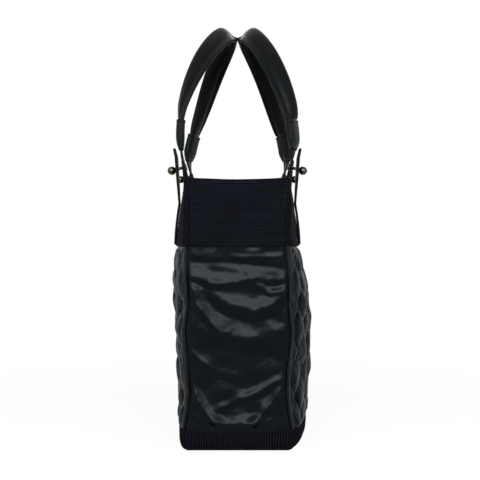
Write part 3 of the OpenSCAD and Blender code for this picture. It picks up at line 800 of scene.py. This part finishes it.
def piping_run(name, end, side, seed):
    """A tube up one corner: its radius and its path vary by slow random waves and by small gathers."""
    z = np.linspace(base_top_z - 0.004, hem_z + 0.003, 150)
    turn = np.linspace(0, 2 * np.pi, 14, endpoint=False)
    slack = ripple(z, 0, 0.07, seed)
    gather = ripple(z, 0, 0.012, seed + 1) * (0.3 + 0.7 * swell(z, 0.178, 0.016))
    radius = pipe_r * (1 + 0.05 * slack + 0.05 * gather)
    centre = half_length - corner_r + (pipe_centre_r + 0.0007 * slack) / math.sqrt(2)
    centre_y = end_half(z) - corner_r + (pipe_centre_r - 0.0008 * slack + 0.0003 * gather) / math.sqrt(2)
    grid = np.stack([
        end * (centre[:, None] + radius[:, None] * np.cos(turn)),
        side * (centre_y[:, None] + radius[:, None] * np.sin(turn)),
        z[:, None] + 0 * turn,
    ], axis=2)
    flat = flat_map(np.linspace(0, 2 * np.pi * pipe_r, 15), z)
    return piece(name, slumped(grid), flat, "root", piping_material, [], along=True)


pipes = [piping_run(f"{end_name}_{side_name}_piping", end, side, 50 + 4 * i)
         for i, (end_name, end, side_name, side) in enumerate((
             ("right", 1, "front", -1), ("right", 1, "back", 1),
             ("left", -1, "front", -1), ("left", -1, "back", 1)))]
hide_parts("corner_piping")


# ---------------------------------------------------------------- Base band and base
# The same webbing round the foot, with its ribs upright. It rolls under the bag to the base panel, a
# sheet of coated cloth over a fibre board.

base_roll = 0.008
base_rib_height = 0.00040
roll_outer, roll_inner = base_roll + band_out, base_roll + band_gap


def evenly(grid, count):
    """The closed grid with its columns moved to even distances along the loop."""
    closed = np.concatenate([grid, grid[:, :1]], axis=1)
    along = distance_along(closed)
    target = np.linspace(0, along[-1], count, endpoint=False)
    spread = [[np.interp(target, along, row[:, axis]) for axis in range(3)] for row in closed]
    return np.array(spread).transpose(0, 2, 1), np.append(target, along[-1])


def corner_rise(x, y):
    """Extra height of the base band's top edge: it climbs at the corners of the ends."""
    return 0.0055 * np.abs(np.clip(y / 0.060, -1, 1)) ** 3 * ease(abs(x), 0.10, 0.185)


base_turn = np.radians(np.linspace(0, 90, 9))
base_outer_z = np.concatenate([roll_outer * (1 - np.cos(base_turn)),
                               np.linspace(roll_outer, base_top_z, 7)[1:]])
base_outer_out = np.concatenate([roll_outer * np.sin(base_turn) - base_roll, np.full(6, band_out)])
base_inner_z = np.concatenate([roll_outer - roll_inner * np.cos(base_turn[::4]), [base_top_z]])
base_inner_out = np.concatenate([roll_inner * np.sin(base_turn[::4]) - base_roll, [band_gap]])
base_loop = loop_grid(np.concatenate([base_outer_z, base_inner_z[::-1]]),
                      np.concatenate([base_outer_out, base_inner_out[::-1]]), 150, 60)
rib_count = 366
base_loop, base_u = evenly(base_loop, rib_count * 6)
base_rib = base_u[-1] / rib_count
base_outer_rows = len(base_outer_z)
base_rib_wave = np.abs(np.cos(np.pi * np.arange(rib_count * 6) / 6)) ** 0.7 - 1
rows_fade = np.where(np.arange(len(base_loop)) < base_outer_rows, 1.0, 0.0)
rows_fade[0] = 0
top_tuck = np.where(np.arange(len(base_loop)) == base_outer_rows - 1, -0.0007, 0.0)
base_lift = base_rib_height * rows_fade[:, None] * base_rib_wave[None, :] + top_tuck[:, None]
base_normal = outward(base_loop, True)
base_loop = base_loop + base_normal * (base_lift * (rows_fade[:, None] > 0))[..., None]
rise_share = ease(base_loop[..., 2], 0.008, base_top_z)
base_loop[..., 2] = np.maximum(0, base_loop[..., 2] + rise_share * (
    corner_rise(base_loop[..., 0], base_loop[..., 1]) - 0.001))
base_v = np.append(np.concatenate([base_outer_z + 0.004, base_inner_z[::-1]]), base_outer_z[0])

base_material, start = new_material("base_webbing")
place = start.node("UVMap", {"uv_map": "flat"}, {})
u, v = axes_of(place)[:2]
thread = (v + 0.0003 * u.wave(base_rib)).wave(0.0009)
# The base colour follows the upright ribs: painted shade, near black, in the grooves between them, and a
# painted highlight on their crowns.
rib_painted_shading = 0.5 + 0.5 * (u + base_rib / 4).wave(base_rib)
fuzz = noise(place, 1300.0, 2.0)
dust = noise(place, 25.0, 4.0)
shade(start, {
    "Base Color": (rib_painted_shading * (0.6 + 0.4 * dust + 0.25 * thread)).tint(tone(0, 0, 1), tone(19, 20, 26)),
    "Roughness": 0.64 + 0.2 * fuzz,
    "Specular IOR Level": 0.01,
    "Normal": (0.00007 * thread + 0.00006 * fuzz).bump(),
})
piece("base_band_webbing", slumped(base_loop), flat_map(base_u, base_v), "root", base_material,
      ["base_band"], around=True, along=True)

base_panel_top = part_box("base_panel")[1].z
panel_inset = np.array([0.060, 0.045, 0.030, 0.016, 0.0105, 0.0088, 0.0085])
panel_profile = np.concatenate([-panel_inset, -panel_inset[::-1]])
panel_heights = np.concatenate([[0.0003, 0.0003, 0.0003, 0.0003, 0.0001, 0.0004, 0.0012],
                                [base_panel_top] * 7])
panel_grid = loop_grid(panel_heights, panel_profile, 60, 20)
panel_flat = panel_grid[..., :2].copy()
panel_flat = np.concatenate([panel_flat, panel_flat[:, :1]], axis=1)
piece("base_panel_cloth", panel_grid, panel_flat, "root", coated_material, ["base_panel"],
      along=True)

board_material, start = new_material("fibre_board")
place = start.node("TexCoord", {}, {}, "Object")
fibres = noise(place, 260.0, 6.0)
shade(start, {
    "Base Color": fibres.tint(tone(98, 84, 66), tone(132, 116, 94)),
    "Roughness": 0.85,
    "Normal": (0.0002 * fibres).bump(),
})
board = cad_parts["base_board"]
for one in board.material_slots:
    one.material = board_material


# ---------------------------------------------------------------- Handles: centre line and section
# Each handle is one arch. It stands upright at its legs, leans in to the middle plane, and turns over
# as it rises, so that it lies flat at the crest. Grip, sleeves and straps all follow this line.

crest_z = 0.529
arch_high = 0.129
leg_x = 0.095
foot_z = 0.365
foot_y, crest_y = 0.0714017, 0.0127807
lean_power = 2.1467
leg_hollow = 0.0035
arch_z = crest_z - arch_high
sleeve_shoulder, sleeve_top = 0.376, 0.402
turn_low = 0.3505
leg_toe = {1: 0.003, -1: 0.007}
leg_turns = {1: (20, 28), -1: (4, 20)}
twist_power = {1: 0.4, -1: 0.85}


def path_y(z):
    """Distance of the centre line from the middle plane: a power of the height above the sleeve's foot,
    less a bell that hollows the legs, and below the foot a gentler power towards the strap's tip."""
    up = np.clip((z - foot_z) / (crest_z - foot_z), 0, 1)
    above = foot_y - (foot_y - crest_y) * up ** lean_power - leg_hollow * np.sin(np.pi * up) ** 2
    below = 0.0084 * (np.maximum(0, foot_z - z) / 0.0375) ** 1.4
    return np.where(z >= foot_z, above, foot_y - below)


def path_point(angle, side):
    """Point of the centre line: half an ellipse from 0 to 180 degrees, and straight legs beyond it. The
    right leg stands out a little and the left leg in."""
    over = np.maximum(0, np.maximum(-angle, angle - 180))
    arch = np.radians(np.clip(angle, 0, 180))
    x = leg_x * np.cos(arch)
    z = arch_z + arch_high * (np.sin(arch) - np.radians(over))
    toe = leg_toe[side] * x / leg_x * np.sin(np.pi / 2 * np.clip((z - foot_z) / 0.090, 0, 1))
    return np.stack([x, path_y(z) + toe, z], axis=-1)


def leg_angle(z, leg=1):
    """Angle of the point of the right leg at a height, or of the left one where leg is -1."""
    angle = np.degrees((z - arch_z) / arch_high)
    return angle if leg > 0 else 180 - angle


def unit(vectors):
    """Each vector divided by its length."""
    return vectors / np.linalg.norm(vectors, axis=-1, keepdims=True)


def path_frame(angle, side):
    """Centre, direction across the strap and direction through it, at each angle. Each leg is turned a
    little in its sleeve, and the rest of the twist rises by a power of a sine to the crest."""
    centre = path_point(angle, side)
    along = unit(path_point(angle + 1, side) - path_point(angle - 1, side))
    slope = (path_y(centre[:, 2] + 0.0005) - path_y(centre[:, 2] - 0.0005)) / 0.001
    flank = unit(np.cross(along, np.stack([0 * slope, 1 + 0 * slope, -slope], axis=-1)))
    face = np.cross(flank, along)
    rise = np.maximum(0, 1 - abs(angle - 90) / (90 - leg_angle(sleeve_top + 0.001)))
    leg_turn = np.where(angle < 90, *leg_turns[side])
    turned = np.clip((centre[:, 2] - turn_low) / (sleeve_shoulder - turn_low), 0, 1)
    twist = leg_turn * turned + (90 - leg_turn) * np.sin(np.pi / 2 * rise) ** twist_power[side]
    twist = np.radians(twist)[:, None]
    across = np.cos(twist) * flank + np.sin(twist) * face
    through = np.cos(twist) * face - np.sin(twist) * flank
    return centre, across, through


def sweep(angle, width, height, side):
    """A section carried along the centre line: its width goes across the strap and its height through
    it, in metres. The front handle is the back one mirrored."""
    centre, across, through = path_frame(angle, side)
    grid = centre[:, None] + across[:, None] * width[..., None] + through[:, None] * height[..., None]
    return grid * np.array([1, side, 1])


# ---------------------------------------------------------------- Grips
# Leather wrapped round a foam core and sewn to itself along one edge, which leaves a flat flange beside
# the round pad; the flange's painted edge is not drawn. The foam core inside shows nowhere.

grip_w, grip_t, grip_end_t = 0.028, 0.011, 0.0076
grip_taper = 0.020
flange_t = 0.0046
grip_end_z = 0.3766

grip_material, start = new_material("grip_leather")
place = start.node("UVMap", {"uv_map": "flat"}, {})
pebble = start.node("TexVoronoi", {"feature": "SMOOTH_F1"},
                    {"Vector": place, "Scale": 620.0, "Smoothness": 0.35}, "Distance")
fine = noise(place, 1500.0, 3.0)
wear = noise(place, 28.0, 5.0)
shade(start, {
    "Base Color": wear.tint(tone(3, 5, 6), tone(9, 11, 13)),
    "Roughness": 0.26 + 0.16 * wear,
    "Specular IOR Level": 0.05,
    "Normal": (0.00022 * (1.0 - pebble) + 0.00004 * fine).bump(),
})


foam_material, start = new_material("foam")
place = start.node("TexCoord", {}, {}, "Object")
cells = start.node("TexVoronoi", {}, {"Vector": place, "Scale": 900.0}, "Distance")
shade(start, {
    "Base Color": cells.tint(tone(120, 116, 108), tone(150, 146, 138)),
    "Roughness": 0.95,
    "Normal": (0.0003 * cells).bump(),
})


def pad_half(width, shrink=0.0):
    """Half the thickness of the round pad at each place across, less what its cover takes up."""
    centre, half = 0.0036, grip_w / 2 - 0.0036 - shrink
    return (grip_t / 2 - shrink) * np.clip(1 - np.abs((width - centre) / half) ** 2.6, 0, 1) ** 0.55


def grip_sweep(angle, width, half, side, seed):
    """The section carried along the grip: thin in the sleeves, full above them, with slow waves."""
    turn = np.linspace(0, 2 * np.pi, len(width), endpoint=False)
    points = path_point(angle, side)
    u = np.concatenate([[0], np.cumsum(np.linalg.norm(np.diff(points, axis=0), axis=1))])
    soft = 1 + 0.025 * ripple(u[:, None], 0.3 * width[None, :], 0.04, seed)
    full = np.clip((points[:, 2] - sleeve_top) / grip_taper, 0, 1)
    share = (grip_end_t + (grip_t - grip_end_t) * full) / grip_t
    height = share[:, None] * (half * np.sign(np.sin(turn)))[None, :] * soft
    flat = flat_map(np.linspace(0, 0.068, len(width) + 1), u)
    return sweep(angle, np.broadcast_to(width, height.shape), height, side), flat


def grip(name, body, side, seed):
    """Leather cover and foam core of a grip. The cover's section is a flat flange and a round pad: the
    height at each place across is the larger of the two, taken smoothly."""
    angle = np.linspace(leg_angle(grip_end_z), 180 - leg_angle(grip_end_z), 360)
    turn = np.linspace(0, 2 * np.pi, 64, endpoint=False)
    width = -grip_w / 2 * np.cos(turn)
    flange = np.where(width < 0, flange_t / 2 * np.clip((width + grip_w / 2) / 0.0012, 0, 1) ** 0.5, 0)
    half = (flange ** 4 + pad_half(width) ** 4) ** 0.25
    grid, flat = grip_sweep(angle, width, half, side, seed)
    made = piece(name + "_pad", grid, flat, body, grip_material, [name + "_cover"],
                 along=True)
    core_turn = turn[::2]
    core_width = 0.0036 - (grip_w / 2 - 0.0036 - 0.0016) * np.cos(core_turn)
    grid, flat = grip_sweep(angle[1:-1:4], core_width, pad_half(core_width, 0.0016), side, seed)
    piece(name + "_foam", grid, flat, body, foam_material, [name + "_core"], along=True)


grip("front_grip", "front_handle", -1, 61)
grip("back_grip", "back_handle", 1, 62)


# ---------------------------------------------------------------- Sleeves
# A smooth leather sleeve over each end of a grip, sewn round its top edge. It narrows to a flat foot
# that holds the handle strap.

sleeve_low, sleeve_step = 0.365, 0.373
sleeve_wall = 0.0012
strap_w, strap_t = 0.025, 0.0030

sleeve_material, start = new_material("sleeve_leather")
place = start.node("UVMap", {"uv_map": "flat"}, {})
fine = noise(place, 900.0, 4.0)
wear = noise(place, 45.0, 5.0)
pores = start.node("TexVoronoi", {}, {"Vector": place, "Scale": 900.0}, "Distance")
shade(start, {
    "Base Color": wear.tint(tone(5, 9, 10), tone(13, 17, 18)),
    "Roughness": 0.38 + 0.2 * wear,
    "Specular IOR Level": 0.05,
    "Normal": (0.00005 * fine + 0.00006 * pores + 0.0003 * wear).bump(),
})


def section(width, thickness, roundness, count):
    """Closed section between an ellipse, at roundness 1, and a rectangle, at 0."""
    turn = np.linspace(0, 2 * np.pi, count, endpoint=False)
    across = width[:, None] / 2 * squared(np.sin(turn), roundness)
    through = thickness[:, None] / 2 * squared(np.cos(turn), roundness)
    return across, through


def sleeve(name, body, side, leg, seed):
    """Sweep of a ring: up the outside from the flat foot to the full top, over the rolled edge and down
    the inside."""
    foot_w, foot_t = strap_w + 0.0022, strap_t + 0.0012
    full_w, full_t = grip_w + 0.0012, grip_end_t + 0.0012
    z = np.concatenate([np.linspace(sleeve_low, sleeve_top, 30), [sleeve_top + 0.0003, sleeve_top],
                        [sleeve_top - 0.001, sleeve_shoulder, sleeve_step, sleeve_low]])
    full = ease(z, sleeve_low, sleeve_shoulder + 0.004)
    wall = np.concatenate([np.full(30, 2 * sleeve_wall), [1.4 * sleeve_wall, 0.4 * sleeve_wall], np.zeros(4)])
    roll = 0.0006 * swell(z, sleeve_top - 0.0012, 0.0012) - 0.0007 * swell(z, sleeve_top - 0.0036, 0.0008)
    inside = np.where(wall > 0, full, ease(z, sleeve_step, sleeve_shoulder))
    width = foot_w + (full_w - foot_w) * inside + wall + np.where(wall > sleeve_wall, roll, 0)
    thick = foot_t + (full_t - foot_t) * inside + wall + np.where(wall > sleeve_wall, roll, 0)
    across, through = section(width, thick, 0.62, 56)
    turn = np.linspace(0, 2 * np.pi, 56, endpoint=False)
    crease = 0.0005 * np.sin(7 * turn + seed)[None, :] * (swell(z, 0.371, 0.004) * (wall > 0))[:, None]
    grid = sweep(leg_angle(z, leg), across, through + crease * np.sign(through), side)
    flat = flat_map(np.linspace(0, 0.075, 57), z)
    piece(name + "_leather", grid, flat, body, sleeve_material, [name], along=True)


# ---------------------------------------------------------------- Handle straps
# A flat leather strap below each sleeve, sewn into it, with a round tip and a ball stud through it.

strap_material, start = new_material("strap_leather")
place = start.node("UVMap", {"uv_map": "flat"}, {})
fine = noise(place, 900.0, 4.0)
pebble = start.node("TexVoronoi", {}, {"Vector": place, "Scale": 800.0}, "Distance")
wear = noise(place, 60.0, 5.0)
shade(start, {
    "Base Color": wear.tint(tone(4, 6, 8), tone(12, 14, 17)),
    "Roughness": 0.40 + 0.2 * wear,
    "Specular IOR Level": 0.04,
    "Normal": (0.00005 * fine + 0.00008 * pebble).bump(),
})


def strap_section(width, thickness, count=12):
    """Flat section with rounded edges: across and through, as shares of the width and the thickness."""
    edge = thickness / 2 * 0.8
    turn = np.radians(np.linspace(-90, 90, 7))
    flat = np.linspace(1, -1, count)[1:-1]
    right_w = width / 2 - edge + edge * np.cos(turn)
    right_t = thickness / 2 * np.sin(turn)
    level = flat * (width / 2 - edge)
    across = np.concatenate([right_w, level, -right_w[::-1], level[::-1]])
    through = np.concatenate([right_t, np.full(len(flat), thickness / 2), right_t[::-1],
                              np.full(len(flat), -thickness / 2)])
    return across, through


def tip_share(distance):
    """Share of the strap's width at a distance from its round tip: a half circle, then full width."""
    r = strap_w / 2
    return np.sqrt(np.clip(1 - (1 - np.clip(distance, 0.00008, r) / r) ** 2, 0, 1))


strap_across, strap_through = strap_section(strap_w, strap_t)
strap_around = np.concatenate([[0], np.cumsum(np.hypot(
    np.diff(np.append(strap_across, strap_across[0])), np.diff(np.append(strap_through, strap_through[0]))))])
tip_z = 0.3275
tip_steps = strap_w / 2 * (1 - np.cos(np.linspace(0, np.pi / 2, 14)))


def handle_strap(name, body, side, leg):
    """Sweep of the flat section from the round tip up into the sleeve."""
    z = np.concatenate([tip_z + tip_steps, np.linspace(tip_z + strap_w / 2, sleeve_step - 0.0003, 24)[1:]])
    share = tip_share(z - tip_z)
    thick = 0.55 + 0.45 * np.clip((z - tip_z) / 0.001, 0, 1) ** 0.5
    grid = sweep(leg_angle(z, leg), share[:, None] * strap_across, thick[:, None] * strap_through, side)
    flat = flat_map(strap_around, z)
    piece(name + "_leather", grid, flat, body, strap_material, [name], along=True)


# ---------------------------------------------------------------- Anchor straps
# A leather strap sewn flat to the outside of the top band. It leaves the band below the rim, stands
# free, and buttons over the ball stud.

leave_z, crease_z, tail_top = 0.296, 0.312, 0.367
tail_flare = 0.0048
tail_turn = math.tan(math.radians(4))
sewn_low = hem_z + 0.002


def strap_back(x, z, side):
    """Inner face of an anchor strap: on the band up to where it leaves it, then up with a flare."""
    flare = tail_flare * np.maximum(0, (z - leave_z) / (tail_top - leave_z))
    return side_y(x, np.minimum(z, leave_z), side) + band_out + 0.0003 + flare


def anchor(node, side, leg):
    """Rows of the flat section up the strap: a straight foot, and a round tip. Above the band it is
    turned a few degrees about its length, and its tip curls outwards."""
    z = np.concatenate([[sewn_low, sewn_low + 0.0008],
                        np.linspace(sewn_low + 0.002, tail_top - strap_w / 2, 60),
                        tail_top - tip_steps[::-1][1:]])
    share = tip_share(tail_top - z)
    thick = np.clip(np.minimum(z - sewn_low, tail_top - z) / 0.0012, 0.3, 1)[:, None] ** 0.5
    x = leg * leg_x + share[:, None] * strap_across
    turn = tail_turn * (x - leg * leg_x) * ease(z, leave_z, stud_z)[:, None]
    y = strap_back(x, z[:, None], side) + strap_t / 2 + thick * strap_through + turn
    curl = 0.0016 * ease(z, tail_top - 0.014, tail_top)[:, None]
    grid = np.dstack([x, side * (y + curl), z[:, None] + 0 * x])
    flat = flat_map(strap_around, z)
    made = piece(node + "_leather", grid, flat, None, strap_material,
                 [node + "_anchor_strap", node + "_strap_tail"], along=True)
    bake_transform(made)


# ---------------------------------------------------------------- Ball studs
# Turned gunmetal studs, screwed through the handle strap from a base behind it: a flange, a waisted
# neck and a ball, which hangs out and down through the buttonhole.

metal_material, start = new_material("gunmetal")
place = start.node("TexCoord", {}, {}, "Object")
cloud = noise(place, 160.0, 3.0)
scratch = noise(place, 1500.0, 2.0)
shade(start, {
    "Base Color": cloud.tint(tone(52, 46, 40), tone(84, 76, 66)),
    "Metallic": 1.0,
    "Roughness": 0.16 + 0.12 * cloud,
    "Normal": (0.00001 * scratch).bump(),
})

stud_z = 0.3425
stud_tilt = math.radians(14.34)
stud_seat_y = 0.067293
ball_out, ball_r = 0.016745, 0.0055
stud_face = 0.0017
neck_r, flange_r, flange_h = 0.0020, 0.0040, 0.0010
base_r, base_h = 0.0045, 0.0012


def turned(name, body, side, leg, radii, heights, replaces):
    """A profile turned round the stud's axis, which leans out and down from the handle strap."""
    turn = np.linspace(0, 2 * np.pi, 32, endpoint=False)
    radii, heights = column(radii), column(heights)
    out, down = math.cos(stud_tilt), math.sin(stud_tilt)
    across = radii * np.cos(turn)
    up = radii * np.sin(turn)
    grid = np.dstack([
        leg * leg_x + across,
        side * (stud_seat_y + heights * out + up * down),
        stud_z - heights * down + up * out,
    ])
    flat = flat_map(np.linspace(0, 0.03, 33), heights[:, 0])
    return piece(name, grid, flat, body, metal_material, replaces, along=True)


ball_turn = np.linspace(math.pi - math.asin(0.42), 0.02, 22)
stud_radii = np.concatenate([
    [flange_r - 0.0003, flange_r, flange_r, flange_r - 0.0004, neck_r + 0.0005, neck_r, neck_r - 0.0002,
     neck_r - 0.0001, 0.42 * ball_r],
    ball_r * np.sin(ball_turn)])
stud_heights = np.concatenate([
    [stud_face, stud_face + 0.0002, stud_face + flange_h - 0.0003, stud_face + flange_h,
     stud_face + flange_h + 0.0002, stud_face + flange_h + 0.0010, 0.0070, 0.0102,
     ball_out - ball_r * math.cos(math.asin(0.42)) - 0.0003],
    ball_out + ball_r * np.cos(ball_turn)])
base_radii = np.array([base_r - 0.0008, base_r - 0.0002, base_r, base_r])
base_heights = -stud_face - np.array([base_h, base_h - 0.0002, base_h - 0.0006, 0.0])

for side_name, side in (("front", -1), ("back", 1)):
    body = side_name + "_handle"
    studs, bases = [], []
    for leg_name, leg in (("right", 1), ("left", -1)):
        node = f"{side_name}_{leg_name}"
        sleeve(node + "_sleeve", body, side, leg, leg + side)
        handle_strap(node + "_handle_strap", body, side, leg)
        anchor(node, side, leg)
        studs.append(turned(node + "_ball_stud", body, side, leg, stud_radii, stud_heights, []))
        bases.append(turned(node + "_stud_base", body, side, leg, base_radii, base_heights, []))
    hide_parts(side_name + "_ball_studs")
    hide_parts(side_name + "_stud_bases")


# ---------------------------------------------------------------- Lining
# A sack of plain grey cloth, sewn in under the binding. It hangs a little loose inside the walls and
# lies on the board.

lining_out = -0.0043
lining_t = 0.001
lining_floor = 0.0061

lining_material, start = new_material("lining_cloth")
place = start.node("TexCoord", {}, {}, "Object")
x, y, z = axes_of(place)
weave = (x + y).wave(0.0008) * z.wave(0.0008)
fade = noise(place, 30.0, 4.0)
shade(start, {
    "Base Color": (0.5 * fade + 0.2 * weave + 0.2).tint(tone(62, 65, 71), tone(92, 95, 101)),
    "Roughness": 0.72,
    "Specular IOR Level": 0.3,
    "Sheen Weight": 0.1,
    "Normal": (0.00005 * weave + 0.0008 * fade).bump(),
})

lining_insets = [0.058, 0.045, 0.032, 0.020, 0.012, 0.008, 0.0055, 0.002, 0.0]
lining_feet = [0, 0, 0, 0, 0, 0.0004, 0.0012, 0.0042, 0.008]
lining_z = np.concatenate([lining_floor + np.array(lining_feet), np.linspace(0.018, rim_z, 80)])
lining_rows = lining_out - np.concatenate([lining_insets, np.zeros(80)])
sack_outer = loop_grid(lining_z, lining_rows, 160, 60)
sack_inner = loop_grid(np.maximum(lining_z, lining_floor + lining_t), lining_rows - lining_t, 160, 60)
sack_u = distance_along(sack_outer[-60:])
slack_share = ease(lining_z, 0.02, 0.08) * (1 - ease(lining_z, rim_z - 0.05, rim_z - 0.004))
slack = 0.0011 * ripple(sack_u[None, :] * 1.6, lining_z[:, None] * 0.5, 0.05, 71) * slack_share[:, None]
slack = np.minimum(slack, 0.0009) - 0.0004 * slack_share[:, None]
sack = walled(raised(sack_outer, slack, True), raised(sack_inner, slack, True))
sack_flat_u = np.append(sack_u, sack_u[-1] + 0.001)
piece("lining_cloth", sack, flat_of(sack_flat_u, lining_z, lining_z, False), "root", lining_material,
      ["lining"], along=True)


# ---------------------------------------------------------------- Pockets
# Front wall: a bottle pocket with two gathered cells and an elastic in its top edge. Back wall: a flat
# slip pocket with a bound edge.

pocket_seat = 0.00605
pocket_t = 0.0012

pocket_material, start = new_material("pocket_cloth")
place = start.node("TexCoord", {}, {}, "Object")
x, z = axes_of(place)[::2]
weave = x.wave(0.0010) * z.wave(0.0010)
fade = noise(place, 40.0, 4.0)
shade(start, {
    "Base Color": (0.5 * fade + 0.2 * weave + 0.2).tint(tone(50, 53, 58), tone(76, 80, 86)),
    "Roughness": 0.7,
    "Specular IOR Level": 0.3,
    "Sheen Weight": 0.1,
    "Normal": (0.00006 * weave + 0.0006 * fade).bump(),
})


def wall_sheet(x, y, z, side):
    """A grid over a long wall, from places along it, distances from the middle plane and heights."""
    return np.dstack(np.broadcast_arrays(side * x[None, :], side * y, z[:, None]))


def pocket(node, side, width, depth, low, high, cells, fullness, gather):
    """Cloth sewn down at its foot and seams: it stands off the lining by a sine across each cell, rises
    from its foot by a quarter wave, and gathers into small waves at its top edge."""
    x = np.linspace(width / 2, -width / 2, 150)
    z = np.linspace(low, low + high, 70)
    share = (z - low) / high
    off = depth * np.abs(np.sin(np.pi * cells * (x / width + 0.5))) ** fullness
    rise = np.sin(np.pi / 2 * np.clip(share / 0.16, 0, 1)) * (1 - 0.12 * share ** 2)
    waves = gather * np.sin(2 * np.pi * x / 0.0095)[None, :] * ease(share, 0.55, 1.0)[:, None]
    stand = off[None, :] * rise[:, None] + waves * (off / depth)[None, :]
    edge = 0.0007 * ease(share, 0.93, 0.95)[:, None]
    face_y = side_y(x[None, :], z[:, None], side) - pocket_seat
    ring = walled(wall_sheet(x, face_y - stand, z, side),
                  wall_sheet(x, face_y - stand - pocket_t - edge, z, side))
    piece(node + "_cloth", ring, flat_of(x, z, z), "root", pocket_material, [node],
          around=True)


pocket("bottle_pocket", -1, 0.240, 0.030, 0.060, 0.140, 2, 1.0, 0.0012)
pocket("slip_pocket", 1, 0.200, 0.012, 0.110, 0.130, 1, 0.5, 0.0)


# ---------------------------------------------------------------- Magnetic snap
# Socket and stud of pressed metal, each on a cloth patch inside the rim, with a washer behind it.

snap_metal, start = new_material("snap_metal")
place = start.node("TexCoord", {}, {}, "Object")
cloud = noise(place, 200.0, 3.0)
shade(start, {
    "Base Color": cloud.tint(tone(120, 116, 108), tone(158, 154, 146)),
    "Metallic": 1.0,
    "Roughness": 0.25 + 0.15 * cloud,
})
for name in ("snap_socket", "snap_stud", "snap_washers"):
    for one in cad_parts[name].material_slots:
        one.material = snap_metal

patch_size = 0.030
patch_z = 0.291
for side, name in ((-1, "front_snap_patch"), (1, "back_snap_patch")):
    x = np.linspace(patch_size / 2, -patch_size / 2, 24)
    z = np.linspace(patch_z - patch_size / 2, patch_z + patch_size / 2, 24)
    rim = np.minimum(patch_size / 2 - np.abs(x)[None, :], patch_size / 2 - np.abs(z - patch_z)[:, None])
    dome = 0.0014 * np.clip(rim / 0.002, 0, 1) ** 0.5 - 0.0004 * swell(rim, 0.0035, 0.0006)
    face_y = side_y(x[None, :], z[:, None], side) - pocket_seat
    patch = walled(wall_sheet(x, face_y, z, side), wall_sheet(x, face_y - dome - 0.0001, z, side))
    piece(name, patch, flat_of(x, z, z), "root", strap_material, [],
                         around=True)
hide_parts("snap_patches")
